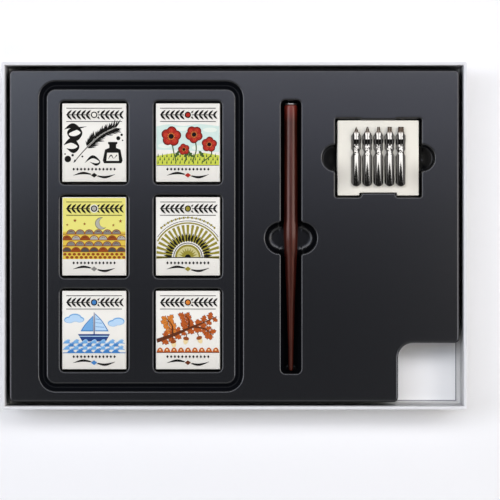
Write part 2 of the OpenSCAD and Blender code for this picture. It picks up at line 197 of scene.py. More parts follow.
# %% Helpers for finishes
def object_place(tree):
    return add(tree, "ShaderNodeTexCoord").outputs["Object"]


def apart(tree, place):
    """The X, Y and Z of a place."""
    return add(tree, "ShaderNodeSeparateXYZ", {0: place}).outputs


def new_finish(name, sockets):
    """A material whose plain values are set on the shader's own sockets."""
    material = bpy.data.materials.new(name)
    material.use_nodes = True
    shader = material.node_tree.nodes["Principled BSDF"]
    for socket, value in sockets.items():
        shader.inputs[socket].default_value = value
    return material, material.node_tree, shader


def feed(shader, sockets):
    """Links sockets of a finish's shader to what drives them."""
    for name, source in sockets.items():
        shader.id_data.links.new(source, shader.inputs[name])


# %% [markdown]
# The room round the table is pale low down and dark overhead. A gradient on the height of
# the view direction gives both, and every reflection sees the same room. The set lies on a
# sheet of matt white backdrop paper, whose grey wanders by a hair.

# %% The room and the floor
world = bpy.data.worlds.new("studio")
world.use_nodes = True
scene.world = world
room = world.node_tree
room.nodes.clear()
LOW_ROOM, HIGH_ROOM = 0.9, 0.04
FADE_FROM, FADE_TO = 0.10, 0.60
direction = add(room, "ShaderNodeTexCoord").outputs["Generated"]
fade = ramp(room, apart(room, direction)["Z"], LOW_ROOM, HIGH_ROOM, FADE_FROM, FADE_TO,
            interpolation_type="SMOOTHSTEP")
backdrop = add(room, "ShaderNodeBackground", {"Color": rgb("#ffffff"), "Strength": fade})
add(room, "ShaderNodeOutputWorld", {"Surface": backdrop.outputs["Background"]})

FLOOR_SIZE = 6.0
FLOOR_CLOUDS_PER_M = 3.0
half_floor = FLOOR_SIZE / 2
floor_mesh = bpy.data.meshes.new("floor")
floor_mesh.from_pydata([(x * half_floor, y * half_floor, 0) for x, y in ((-1, -1), (1, -1), (1, 1), (-1, 1))],
                       [], [(0, 1, 2, 3)])
floor = bpy.data.objects.new("floor", floor_mesh)
scene.collection.objects.link(floor)
floor_paper, tree, shader = new_finish(
    "matt_white_backdrop_paper", {"Roughness": 0.9, "Specular IOR Level": 0.1})
clouds = add(tree, "ShaderNodeTexNoise", {"Vector": object_place(tree), "Scale": FLOOR_CLOUDS_PER_M})
feed(shader, {"Base Color": mixed(tree, clouds.outputs[0], rgb("#efefef"), rgb("#f1f1f1"))})
floor_mesh.materials.append(floor_paper)
print("floor, m:", FLOOR_SIZE)

# %% [markdown]
# Covered board is greyboard with a thin white paper glued round it. Coated paper is matt to
# satin, and under a lens it shows fine fibres and a faint cloudiness. One function makes all
# the papers and cards of the set: it mixes two near colours by a large soft noise, and lifts
# the fibres with a small one. The fibres are drawn about 0.4 mm long so that they can show.
# The floor lining gets a fine dark line of painted shade in the crease along the walls, and
# the nib card two soft grey patches of painted shade at its left and right edges.

# %% Papers and cards
CLOUD_MM, FIBRE_RISE_MM = 18, 0.05
CREASE_MM = 0.55
PATCH_MM, PATCH_NEARER_MM, PATCH_SHARE = 15, 12, 0.42


def paper(name, colour, cloud, roughness, fibre_mm=0.4, relief=0.12):
    material, tree, shader = new_finish(name, {"Roughness": roughness, "IOR": 1.5})
    place = object_place(tree)
    fibres = noise(tree, place, fibre_mm, 5.0)
    share = maths(tree, "MULTIPLY", noise(tree, place, CLOUD_MM, 3.0), fibres)
    feed(shader, {"Base Color": mixed(tree, share, rgb(colour), rgb(cloud)),
                  "Normal": bump(tree, fibres, relief, FIBRE_RISE_MM)})
    return material


covering_paper = paper("coated_white_covering_paper", "#dbdbdc", "#cdcdd0", 0.5)
lining_paper = paper("satin_white_lining_paper", "#fbfbfa", "#f3f3f2", 0.42, relief=0.08)
lined_board = paper("white_lined_greyboard", "#eeeeec", "#dcdbd7", 0.75, fibre_mm=0.7, relief=0.3)
bottom_paper = paper("matt_white_bottom_paper", "#efefed", "#dfdfdc", 0.7, relief=0.2)
carton_board = paper("cream_coated_carton_board", "#e8e5dc", "#dedbd0", 0.55, relief=0.06)
nib_card_board = paper("uncoated_cream_card", "#e9e5d9", "#d9d5c5", 0.75, fibre_mm=0.6, relief=0.3)


# %% Painted shade on the lining and on the nib card
def shade(material, tone, mask):
    """Mixes a tone into a finish where its mask, built by a function of the place, is 1."""
    tree = material.node_tree
    shader = tree.nodes["Principled BSDF"]
    before = shader.inputs["Base Color"].links[0].from_socket
    share = mask(tree, apart(tree, object_place(tree)))
    feed(shader, {"Base Color": mixed(tree, share, before, rgb(tone))})


def off_centre(tree, socket, centre_mm):
    """Distance in metres from a centre line."""
    return maths(tree, "ABSOLUTE", maths(tree, "SUBTRACT", socket, centre_mm * MM))


def painted_crease_shade(tree, spot):
    """A fine dark line of painted shade in the crease where the lining meets the walls."""
    high = span("box_floor_lining")[1]
    return maths(tree, "MAXIMUM", *[
        maths(tree, "GREATER_THAN", off_centre(tree, spot[axis], 0), (limit - CREASE_MM) * MM)
        for axis, limit in (("X", high.x), ("Y", high.y))])


def painted_shade_patches(tree, spot):
    """Two soft grey patches of painted shade at the card's left and right edges, below its middle."""
    low, high = span("nib_card")
    across = off_centre(tree, spot["X"], (low.x + high.x) / 2)
    place = add(tree, "ShaderNodeCombineXYZ", {"X": across, "Y": spot["Y"]}).outputs[0]
    middle = ((high.x - low.x) / 2 * MM, ((low.y + high.y) / 2 - PATCH_NEARER_MM) * MM, 0)
    away = add(tree, "ShaderNodeVectorMath", {0: place, 1: middle}, operation="DISTANCE")
    return ramp(tree, away.outputs["Value"], PATCH_SHARE, 0.0, 0.0, PATCH_MM * MM,
                interpolation_type="SMOOTHSTEP")


# Painted shade: a dark grey line in the crease where the lining meets the walls.
shade(lining_paper, "#77787c", painted_crease_shade)
# Painted shade: two soft grey patches at the nib card's left and right edges.
shade(nib_card_board, "#8d8880", painted_shade_patches)


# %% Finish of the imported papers
def dress(node, material):
    """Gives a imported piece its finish."""
    for material_slot in frame["nodes"][node].material_slots:
        material_slot.material = material


dress("box_board", lined_board)
dress("box_bottom_sheet", bottom_paper)
dress("box_floor_lining", lining_paper)
print("papers:", len(bpy.data.materials))

# %% [markdown]
# Most shapes here are an outline swept through a profile: the rim of the box, the tubs of the
# tray, a carton's sleeve, the turned pen. An outline is a list of corners with radii, and it
# can be drawn again at any inset, so that a rounded edge is a few insets at falling heights.
# Every inset has as many points as the first, which lets one loop be joined to the next.

# %% Outlines
ARC_STEP = 9
SMALLEST_R = 0.12


def smooth_step(value):
    value = min(max(value, 0.0), 1.0)
    return value * value * (3 - 2 * value)


def rounded(corners, inset):
    """Arcs (x, y, radius, start, turn) of a counter-clockwise outline of ((x, y), radius) corners."""
    arcs = []
    for k, (place, radius) in enumerate(corners):
        corner = Vector(place)
        back = (Vector(corners[k - 1][0]) - corner).normalized()
        ahead = (Vector(corners[(k + 1) % len(corners)][0]) - corner).normalized()
        side = 1 if ahead.cross(back) > 0 else -1
        half = back.angle(ahead) / 2
        bisector = (back + ahead).normalized()
        bend = max(radius - side * inset, SMALLEST_R)
        centre = corner + bisector * (side * inset + bend) / math.sin(half)
        leave = back.orthogonal() * side
        start = math.degrees(math.atan2(leave.y, leave.x))
        arcs.append((centre.x, centre.y, bend, start, side * (180 - math.degrees(2 * half))))
    return arcs


def trace(arcs):
    """Points along a list of arcs, with straight lines between them."""
    points = []
    for x, y, radius, start, turn in arcs:
        count = max(2, math.ceil(abs(turn) / ARC_STEP))
        for k in range(count + 1):
            angle = math.radians(start + turn * k / count)
            points.append((x + radius * math.cos(angle), y + radius * math.sin(angle)))
    return points


def rectangle(left, right, near, far, radius):
    """Corners of a rectangle, from its near right corner round."""
    return [((right, near), radius), ((right, far), radius), ((left, far), radius), ((left, near), radius)]


# %% Skins and sweeps
def skin(bm, loops, closed=False):
    """Joins each loop of vertices to the next with a band of faces. A loop may be one point."""
    for first, second in list(zip(loops, loops[1:])) + ([(loops[-1], loops[0])] if closed else []):
        count = max(len(first), len(second))
        for k in range(count):
            j = (k + 1) % count
            band = (first[k % len(first)], first[j % len(first)],
                    second[j % len(second)], second[k % len(second)])
            bm.faces.new(list(dict.fromkeys(band)))


def sweep(bm, corners, profile, closed=False, capped=False):
    """Sweeps (inset, height) pairs round an outline, closed on itself or capped at both ends."""
    loops = [[bm.verts.new((x, y, rise)) for x, y in trace(rounded(corners, inset))]
             for inset, rise in profile]
    skin(bm, loops, closed)
    if capped:
        bm.faces.new(loops[0])
        bm.faces.new(loops[-1])
    return loops


def quarter(radius, steps=5):
    """Pairs (in, down) along a quarter circle, from a level face to an upright one."""
    angles = [math.pi / 2 * k / steps for k in range(steps + 1)]
    return [(radius * (1 - math.sin(a)), radius * (1 - math.cos(a))) for a in angles]


# %% From a mesh to a piece
def finish_piece(name, bm, materials, body, nodes=(), smooth=True, open_sheet=False,
                 face_out=True):
    """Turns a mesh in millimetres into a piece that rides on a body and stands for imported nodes."""
    if face_out:
        bmesh.ops.recalc_face_normals(bm, faces=bm.faces)
    if open_sheet and max(bm.faces, key=lambda face: face.calc_area()).normal.z < 0:
        bmesh.ops.reverse_faces(bm, faces=bm.faces)
    bmesh.ops.scale(bm, vec=(MM, MM, MM), verts=bm.verts)
    mesh = bpy.data.meshes.new(name)
    bm.to_mesh(mesh)
    bm.free()
    mesh.polygons.foreach_set("use_smooth", [smooth] * len(mesh.polygons))
    piece = bpy.data.objects.new(name, mesh)
    scene.collection.objects.link(piece)
    for material in materials:
        mesh.materials.append(material)
    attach(piece, body)
    if nodes:
        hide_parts(*nodes)
    print(name, len(mesh.polygons), "faces")
    return piece


# %% [markdown]
# The paper goes up the outside of the box, over the rim and 16 mm down the inside, where its
# cut edge shows as a fine line in the cut-out corner. It is one closed strip of paper 0.2 mm
# thick, swept round the box, with soft folds at the rim and slightly soft upright corners.

# %% Covering paper of the box
PAPER = 0.2
BOARD_WALL = 2.0
TURN_IN = 16
RIM_FOLD = 0.4
RIM_INNER_FOLD = 0.68
BOX_CORNER_R = 1.1

box_corners = rectangle(box_low.x, box_high.x, box_low.y, box_high.y, BOX_CORNER_R)
rim_z = box_high.z
paper_profile = [(0, box_low.z)]
paper_profile += [(inset, rim_z - drop) for inset, drop in reversed(quarter(RIM_FOLD))]
paper_profile += [(BOARD_WALL - inset, rim_z - drop) for inset, drop in quarter(RIM_INNER_FOLD)]
paper_profile += [(BOARD_WALL, rim_z - TURN_IN), (BOARD_WALL - PAPER, rim_z - TURN_IN),
                  (BOARD_WALL - PAPER, rim_z - RIM_INNER_FOLD), (BOARD_WALL - RIM_INNER_FOLD, rim_z - PAPER),
                  (RIM_FOLD, rim_z - PAPER), (PAPER, rim_z - RIM_FOLD), (PAPER, box_low.z)]
wrap = bmesh.new()
sweep(wrap, box_corners, paper_profile, closed=True)
finish_piece("box_covering_paper", wrap, [covering_paper], "base", ["box_wrap"])

# %% [markdown]
# The tray is one sheet of black plastic, warmed and sucked down over a mould. That gives it
# an even wall, round edges where the sheet rolls over into each tub, a little draft, and a
# soft foot to each wall. The upper skin is modelled as one surface: flat faces with holes, a
# rolled tub in every hole, and a skirt down to the flange. Solidify then gives the thickness.

# %% Sizes of the tray
SHEET = 0.8
FLANGE = 1.75
ROLL = 0.95
RING = 0.2
DRAFT = 0.35
FOOT = 0.8
TRAY_R = 3
NOTCH_L, NOTCH_W, NOTCH_R = 39.5, 38.2, 9.4
GROOVE_W, GROOVE_D = 4.4, 3.0
PLATEAU_X, PLATEAU_Y, PLATEAU_R = 8.9, 8.05, 6.2
POCKET_GAP_X, POCKET_GAP_Y, POCKET_R = 1.3, 1.55, 3
SLOT_W, SLOT_NEAR_GAP, SLOT_FAR_GAP, SLOT_R = 13.0, 0.9, 1.7, 3.0
RECESS_R, RECESS_Y, RECESS_EXTRA = 10.2, -1.4, 1.3
RECESS_ROUND, SOFT_FOOT = 1.5, 4.2
NIB_GAP_X, NIB_GAP_Y, NIB_POCKET_R = 1.75, 1.2, 1.5
THUMB_R, THUMB_D, THUMB_WALL = 8.4, 12.5, 2.5
LUG_HALF, LUG_SLOPE, NEAR_LUG, FAR_LUG = 10.5, 1.4, 2.7, 0.8

tray_low, tray_high = span("tray")
top = tray_high.z
left, right = tray_low.x + FLANGE, tray_high.x - FLANGE
near, far = tray_low.y + FLANGE, tray_high.y - FLANGE
tray_corners = [
    ((left, near), TRAY_R), ((right - NOTCH_L, near), TRAY_R), ((right - NOTCH_L, near + NOTCH_W), NOTCH_R),
    ((right, near + NOTCH_W), TRAY_R), ((right, far), TRAY_R), ((left, far), TRAY_R)]

cartons = {ink: span("carton_" + ink) for ink in INKS}
pocket_corners = [
    rectangle(low.x - POCKET_GAP_X, high.x + POCKET_GAP_X,
              low.y - POCKET_GAP_Y, high.y + POCKET_GAP_Y, POCKET_R)
    for low, high in cartons.values()]
field_x = [x for corners in pocket_corners for (x, y), r in corners]
field_y = [y for corners in pocket_corners for (x, y), r in corners]
groove_corners = rectangle(
    min(field_x) - PLATEAU_X - GROOVE_W, max(field_x) + PLATEAU_X + GROOVE_W,
    min(field_y) - PLATEAU_Y - GROOVE_W, max(field_y) + PLATEAU_Y + GROOVE_W, PLATEAU_R + GROOVE_W)
print("tray face, mm:", round(right - left, 1), round(far - near, 1), "pockets:", len(pocket_corners))


# %% Outlines of the slot and the nib pocket
def lobe(edge_x, y, radius, side, inset):
    """A round recess on a straight edge, with a rounding at each of its ends."""
    reach = radius + RECESS_ROUND
    rise = side * math.sqrt(reach * reach - RECESS_ROUND * RECESS_ROUND)
    lean = math.degrees(math.atan2(abs(rise), RECESS_ROUND))
    turn = 0 if side > 0 else 180
    out_x = edge_x + side * RECESS_ROUND
    outer = RECESS_ROUND + inset
    return [(out_x, y - rise, outer, 180 + turn, -lean),
            (edge_x, y, radius - inset, turn - lean, 2 * lean),
            (out_x, y + rise, outer, 180 + lean + turn, -lean)]


pen_low, pen_high = span("pen_handle")
ferrule_high = span("pen_ferrule")[1]
pen_x = (pen_low.x + pen_high.x) / 2
pen_z = (pen_low.z + pen_high.z) / 2
slot_left, slot_right = pen_x - SLOT_W / 2, pen_x + SLOT_W / 2
slot_corners = rectangle(
    slot_left, slot_right, pen_low.y - SLOT_NEAR_GAP, ferrule_high.y + SLOT_FAR_GAP, SLOT_R)


def slot_shape(inset):
    soft = inset + max(inset - DRAFT, 0.0) * (SOFT_FOOT / FOOT - 1)
    ends = rounded(slot_corners, soft)
    return (ends[:1] + lobe(slot_right, RECESS_Y, RECESS_R, 1, soft) + ends[1:3]
            + lobe(slot_left, RECESS_Y, RECESS_R, -1, soft) + ends[3:])


nib_low, nib_high = span("nib_card")
nib_x, nib_y = (nib_low.x + nib_high.x) / 2, (nib_low.y + nib_high.y) / 2
nib_left, nib_right = nib_low.x - NIB_GAP_X, nib_high.x + NIB_GAP_X
nib_near, nib_far = nib_low.y - NIB_GAP_Y, nib_high.y + NIB_GAP_Y
LUG_FOOT_R, LUG_TIP_R = 1.6, 0.9
lug_foot = LUG_HALF + LUG_SLOPE


def lug(side, edge_y, reach):
    """Four corners of a lug that stands out from an edge into the pocket."""
    return [((nib_x + side * lug_foot, edge_y), LUG_FOOT_R), ((nib_x + side * LUG_HALF, reach), LUG_TIP_R),
            ((nib_x - side * LUG_HALF, reach), LUG_TIP_R), ((nib_x - side * lug_foot, edge_y), LUG_FOOT_R)]


nib_corners = rectangle(nib_left, nib_right, nib_near, nib_far, NIB_POCKET_R)
nib_corners = (nib_corners[:2] + lug(1, nib_far, nib_far - FAR_LUG) + nib_corners[2:]
               + lug(-1, nib_near, nib_near + NEAR_LUG))
print("pen slot and nib pocket, mm wide:", SLOT_W, round(nib_right - nib_left, 1))


def nib_shape(inset):
    ends = rounded(nib_corners, inset)
    return (ends[:1] + lobe(nib_right, nib_y, THUMB_R, 1, inset) + ends[1:7]
            + lobe(nib_left, nib_y, THUMB_R, -1, inset) + ends[7:])


# %% [markdown]
# The finger recess beside the pen has a flat floor a little below the slot's, and the thumb
# recesses beside the nib box are bowls. Each is blended with the floor of its tub as heights:
# at each point the lower one counts, with a smooth step between them. Blender's own
# triangulation fills the floor with a fine net.


# %% Floors of the tubs
OUT_OF_THE_WAY, FEATHER, BLEND = 12, 1.2, 1.6
FLOOR_STOPS_SHORT, RECESS_STOPS_SHORT = 0.8, 0.9
UNDER_PEN = 0.2


def stepped_floor(x, y, bottom, left_x, right_x, recess_y, radius, recess_bottom, bowl=0.0):
    """Height of a floor with a recess at another height, flat or a bowl, on each of its long edges."""
    outside = abs(x - (left_x + right_x) / 2) - (right_x - left_x) / 2
    lowest = bottom + OUT_OF_THE_WAY * smooth_step((outside + FLOOR_STOPS_SHORT) / FEATHER)
    for edge_x in (left_x, right_x):
        reach = math.hypot(x - edge_x, y - recess_y)
        hollow = bowl * (1 - math.sqrt(max(1 - (reach / radius) ** 2, 0.0)))
        beyond = smooth_step((reach - radius + RECESS_STOPS_SHORT) / FEATHER)
        recess = recess_bottom + hollow + OUT_OF_THE_WAY * beyond
        blend = smooth_step((recess - lowest) / BLEND + 0.5)
        lowest = recess + (lowest - recess) * blend
    return lowest


slot_bottom = pen_low.z - UNDER_PEN
nib_bottom = span("nib_box")[0].z
print("floors of the slot and the nib pocket, mm:", round(slot_bottom, 2), round(nib_bottom, 2))


def slot_floor(x, y):
    return stepped_floor(x, y, slot_bottom, slot_left, slot_right, RECESS_Y, RECESS_R,
                         slot_bottom - RECESS_EXTRA)


def nib_floor(x, y):
    return stepped_floor(x, y, nib_bottom, nib_left, nib_right, nib_y, THUMB_R, top - THUMB_D,
                         THUMB_D - THUMB_WALL)


# %% Filling a face with a net
def inside(point, loops):
    """True if a point is inside an odd number of the loops."""
    x, y = point
    hits = 0
    for loop in loops:
        for k, (ax, ay) in enumerate(loop):
            bx, by = loop[k - 1]
            if (ay > y) != (by > y) and x < (bx - ax) * (y - ay) / (by - ay) + ax:
                hits += 1
    return hits % 2 == 1


def fill(bm, rings, net=None, floor_height=None):
    """Fills the area between rings of vertices, with a net of inner points if one is asked for."""
    verts = [vert for ring in rings for vert in ring]
    loops = [[(v.co.x, v.co.y) for v in ring] for ring in rings]
    points = [Vector(point) for loop in loops for point in loop]
    edges, start = [], 0
    for loop in loops:
        edges += [(start + k, start + (k + 1) % len(loop)) for k in range(len(loop))]
        start += len(loop)
    if net:
        low_x, high_x = min(p.x for p in points), max(p.x for p in points)
        low_y, high_y = min(p.y for p in points), max(p.y for p in points)
        rim = list(points)
        for column in range(1, int((high_x - low_x) / net)):
            for row in range(1, int((high_y - low_y) / net)):
                shift = net / 2 if row % 2 else 0
                spot = Vector((low_x + column * net + shift, low_y + row * net))
                if inside(spot, loops) and min((spot - p).length for p in rim) > net * 0.5:
                    points.append(spot)
                    verts.append(bm.verts.new((spot.x, spot.y, floor_height(spot.x, spot.y))))
    placed, _, faces, sources, _, _ = delaunay_2d_cdt(points, edges, [], 0, 1e-6)
    for face in faces:
        middle = sum((placed[k] for k in face), Vector((0, 0))) / 3
        if inside(middle, loops):
            bm.faces.new([verts[sources[k][0]] for k in face])


# %% Skin of the tray
def tub(bm, shape, floor_height):
    """One tub: a rolled edge, a drafted wall and a soft foot. Gives its top and bottom rings."""
    profile = [(-ROLL - RING, top, 0)] + [(-inset, top - drop, 0) for inset, drop in quarter(ROLL)]
    profile += [(DRAFT + drop, inset, 1) for inset, drop in quarter(FOOT)]
    foot_line = trace(shape(DRAFT + FOOT))
    feet = [(floor_height(x, y), math.hypot(x - a, y - b) / FOOT)
            for (x, y), (a, b) in zip(foot_line, trace(shape(DRAFT)))]
    loops = []
    for inset, rise, on_foot in profile:
        loops.append([bm.verts.new((x, y, foot + rise * soft if on_foot else rise))
                      for (x, y), (foot, soft) in zip(trace(shape(inset)), feet)])
    skin(bm, loops)
    return loops[0], loops[-1]


SLOT_NET, POCKET_NET = 1.1, 1.5
sheet = bmesh.new()
pocket_rings = []
for corners, (low, high) in zip(pocket_corners, cartons.values()):
    upper, lower = tub(sheet, lambda inset, c=corners: rounded(c, inset), lambda x, y, z=low.z: z)
    sheet.faces.new(lower)
    pocket_rings.append(upper)
slot_ring, slot_foot = tub(sheet, slot_shape, slot_floor)
fill(sheet, [slot_foot], SLOT_NET, slot_floor)
nib_ring, nib_foot = tub(sheet, nib_shape, nib_floor)
fill(sheet, [nib_foot], POCKET_NET, nib_floor)

GROOVE_ROLL, GROOVE_FOOT = 1.1, 0.8
half_groove = [(-GROOVE_ROLL - RING, top)]
half_groove += [(-inset, top - drop) for inset, drop in quarter(GROOVE_ROLL)]
half_groove += [
    (GROOVE_W / 2 - GROOVE_FOOT * math.cos(a), top - GROOVE_D + GROOVE_FOOT * (1 - math.sin(a)))
    for a in [math.radians(30 + 15 * k) for k in range(4)]]
groove = half_groove + [(GROOVE_W / 2, top - GROOVE_D)]
groove += [(GROOVE_W - inset, rise) for inset, rise in reversed(half_groove)]
groove_loops = sweep(sheet, groove_corners, groove)
fill(sheet, [groove_loops[-1]] + pocket_rings)

FLANGE_ROUND, SKIRT_ROLL = 1.0, 1.4
flange_top = tray_low.z + SHEET
skirt = [(SKIRT_ROLL + RING, top)] + [(inset, top - drop) for inset, drop in quarter(SKIRT_ROLL)]
skirt += [(-drop, flange_top + inset) for inset, drop in quarter(FLANGE_ROUND, 4)] + [(-FLANGE, flange_top)]
skirt_loops = sweep(sheet, tray_corners, skirt)
fill(sheet, [skirt_loops[0], groove_loops[0], slot_ring, nib_ring])
print("skin of the tray:", len(sheet.faces), "faces")

# %% [markdown]
# Black polystyrene sheet comes off the mould satin: the mould prints its fine grain into the
# face, and the sheet cools a little wavy. The grain breaks the edge of each reflection and
# the waves bend it. The grain on a real tray is 0.1 mm, drawn here at 0.35 mm so it can show.
# Sheet that is drawn deep comes out thin and dull, so the shine falls off below the rolled
# edges. The finger recess and the thumb bowls are pressed against the mould and keep some.

# %% Finish of the tray
SHINE_TOP, SHINE_DEEP = 0.5, 0.06
SHINY_ABOVE, DULL_BELOW = 0.3, 1.5
FINGER_HALF_X, FINGER_HALF_Y, FINGER_SHINE = 24, 12.5, 0.33
THUMB_HALF_X, THUMB_HALF_Y, THUMB_SHINE = 40, 10, 0.22
formed_sheet, tree, shader = new_finish(
    "vacuum_formed_black_polystyrene", {"Base Color": rgb("#08090c"), "IOR": 1.59})
place = object_place(tree)


def shine_within(tree, spot, centre_x, half_x, centre_y, half_y, amount):
    """Shine inside a rectangle of the tray, and none outside it."""
    in_x = maths(tree, "COMPARE", spot["X"], centre_x * MM, half_x * MM)
    in_y = maths(tree, "COMPARE", spot["Y"], centre_y * MM, half_y * MM)
    return maths(tree, "MULTIPLY", maths(tree, "MULTIPLY", in_x, in_y), amount)


spot = apart(tree, place)
by_depth = ramp(tree, spot["Z"], SHINE_DEEP, SHINE_TOP, (top - DULL_BELOW) * MM, (top - SHINY_ABOVE) * MM)
by_finger = shine_within(tree, spot, pen_x, FINGER_HALF_X, RECESS_Y, FINGER_HALF_Y, FINGER_SHINE)
by_thumb = shine_within(tree, spot, nib_x, THUMB_HALF_X, nib_y, THUMB_HALF_Y, THUMB_SHINE)
grain = noise(tree, place, 0.35, 4.0)
fine = bump(tree, grain, 0.35, 0.006)
feed(shader, {
    "Specular IOR Level": maths(tree, "MAXIMUM", maths(tree, "MAXIMUM", by_finger, by_thumb), by_depth),
    "Roughness": ramp(tree, grain, 0.19, 0.28),
    "Normal": bump(tree, noise(tree, place, 55, 1.0), 0.5, 0.25, Normal=fine)})

tray = finish_piece("formed_tray", sheet, [formed_sheet], "tray", ["tray"], open_sheet=True)
wall = tray.modifiers.new("sheet_thickness", "SOLIDIFY")
wall.thickness = SHEET * MM
wall.offset = -1
wall.use_even_offset = False
flats = tray.modifiers.new("flat_faces_stay_flat", "WEIGHTED_NORMAL")
flats.weight = 100

# %% [markdown]
# A turned or drawn round part is a profile spun about an axis. Each ring of the pen lies
# round the pen's own axis along Y, and the ends close on a single point.


# %% The pen holder
def lathe(bm, axis_x, axis_z, profile, sides=96, closed=False):
    """Spins (radius, y) pairs about an axis along Y. A radius of zero closes an end."""
    rings = []
    for radius, y in profile:
        if radius == 0:
            rings.append([bm.verts.new((axis_x, y, axis_z))])
            continue
        turns = [2 * math.pi * k / sides for k in range(sides)]
        rings.append([bm.verts.new((axis_x + radius * math.cos(t), y, axis_z + radius * math.sin(t)))
                      for t in turns])
    skin(bm, rings, closed)


TAIL_R, BELLY_R, WOOD_END_R, BELLY_AT, TAPER_POWER = 1.5, 4.75, 4.35, 87, 1.4
FERRULE_R, FERRULE_WALL, FERRULE_IN, SHOULDER, FIT = 3.85, 0.33, 14, 1.2, 0.03
BORE_EDGE_R, BORE_EDGE_Y = 0.06, 0.05
TAIL_STEPS, BELLY_STEPS, NECK_STEPS, MOUTH_STEPS = 8, 32, 20, 12
tail_y, wood_end_y, tip_y = pen_low.y, pen_high.y, ferrule_high.y
belly_y = tip_y - BELLY_AT
turned = [(0, tail_y)]
turned += [(TAIL_R * math.sin(a), tail_y + TAIL_R * (1 - math.cos(a)))
           for a in [math.pi / 2 * k / TAIL_STEPS for k in range(1, TAIL_STEPS)]]
for k in range(BELLY_STEPS + 1):
    u = k / BELLY_STEPS
    turned.append((TAIL_R + (BELLY_R - TAIL_R) * u ** TAPER_POWER,
                   tail_y + TAIL_R + u * (belly_y - tail_y - TAIL_R)))
for k in range(1, NECK_STEPS + 1):
    u = k / NECK_STEPS
    turned.append((BELLY_R - (BELLY_R - WOOD_END_R) * math.sin(math.pi / 2 * u),
                   belly_y + u * (wood_end_y - SHOULDER - belly_y)))
bore = FERRULE_R + FIT
for k in range(1, MOUTH_STEPS + 1):
    a = math.pi / 2 * k / MOUTH_STEPS
    turned.append((WOOD_END_R - (WOOD_END_R - bore - BORE_EDGE_R) * (1 - math.cos(a)),
                   wood_end_y - SHOULDER + SHOULDER * math.sin(a)))
turned += [(bore, wood_end_y - BORE_EDGE_Y), (bore, wood_end_y - FERRULE_IN), (0, wood_end_y - FERRULE_IN)]
wood = bmesh.new()
lathe(wood, pen_x, pen_z, turned)
print("pen, mm:", round(tip_y - tail_y, 1), "long,", 2 * BELLY_R, "thick")

# %% [markdown]
# The holder is a hardwood turning, stained dark red and lacquered. Under the lacquer the
# grain runs along the pen as long narrow streaks, so the noise is stretched along Y by a
# Mapping node. The lacquer is a clear coat of its own: it gives the two long highlights. A
# painted highlight makes the end beside the ferrule a brighter red.


# %% Finish of the pen
def stretched(tree, share):
    """The place on the object, with its Y shrunk to a share, so that noise runs along Y."""
    sockets = {"Vector": object_place(tree), "Scale": (1.0, share, 1.0)}
    return add(tree, "ShaderNodeMapping", sockets).outputs[0]


lacquered_wood, tree, shader = new_finish("lacquered_red_stained_beech", {
    "Roughness": 0.36, "IOR": 1.45, "Specular IOR Level": 0.5, "Specular Tint": rgb("#ffc0ac"),
    "Coat Weight": 0.35, "Coat Roughness": 0.17, "Coat IOR": 1.5})
along = stretched(tree, 0.05)
streaks = noise(tree, along, 1.3, 4.0, Distortion=0.4)
stain = add(tree, "ShaderNodeValToRGB", {"Fac": streaks})
for element, position, colour in zip(stain.color_ramp.elements, (0.32, 0.70), ("#250906", "#45180f")):
    element.position = position
    element.color = rgb(colour)
dark_pores = ramp(tree, noise(tree, along, 0.35, 2.0), 0.0, 0.6, 0.55, 0.75)
feed(shader, {"Base Color": mixed(tree, dark_pores, stain.outputs["Color"], rgb("#140605")),
              "Normal": bump(tree, streaks, 0.25, 0.03)})


END_HIGHLIGHT_MM, END_HIGHLIGHT_FULL_MM, END_HIGHLIGHT_SHARE = 11, 2, 0.75


def painted_end_highlight(tree, spot):
    """The end beside the ferrule, where a painted highlight makes the red brighter."""
    return ramp(tree, spot["Y"], 0.0, END_HIGHLIGHT_SHARE, (wood_end_y - END_HIGHLIGHT_MM) * MM,
                (wood_end_y - END_HIGHLIGHT_FULL_MM) * MM)


# Painted highlight: the red grows brighter towards the ferrule end.
shade(lacquered_wood, "#6e2218", painted_end_highlight)
finish_piece("pen_turned_handle", wood, [lacquered_wood], "pen", ["pen_handle"])


# %% [markdown]
# The ferrule is drawn steel, nickel-plated and dulled by drawing marks that run along it.
# The nibs are polished steel with a bronze tint. Their writing ends are ground after
# polishing, which leaves them dull and brown.


# %% Steel of the pen and the nibs
def steel(name, colour, roughness, scratch_mm):
    """Bright steel, whose fine drawing marks run along Y."""
    material, tree, shader = new_finish(name, {"Base Color": rgb(colour), "Metallic": 1.0})
    marks = noise(tree, stretched(tree, 0.08), scratch_mm, 3.0)
    feed(shader, {"Roughness": ramp(tree, marks, roughness * 0.7, roughness * 1.4),
                  "Normal": bump(tree, marks, 0.15, 0.01)})
    return material


NIB_GREY, NIB_BROWN = "#7d7b79", "#3d332c"
GROUND_MM, GROUND_EDGE_MM, GROUND_DULL = 4.6, 3.0, 0.36
drawn_steel = steel("drawn_nickel_plated_steel", "#c9c8c6", 0.34, 0.4)
nib_steel = steel("polished_bronzed_nib_steel", NIB_GREY, 0.035, 0.3)
dress("pen_crown", drawn_steel)

tree = nib_steel.node_tree
shader = tree.nodes["Principled BSDF"]
polish = shader.inputs["Roughness"].links[0].from_socket
ends_y = span("nib_1")[1].y
ground = ramp(tree, apart(tree, object_place(tree))["Y"], 0.0, 1.0,
              (ends_y - GROUND_MM) * MM, (ends_y - GROUND_EDGE_MM) * MM)
feed(shader, {"Roughness": maths(tree, "MULTIPLY_ADD", ground, GROUND_DULL, polish),
              "Base Color": mixed(tree, ground, rgb(NIB_GREY), rgb(NIB_BROWN))})

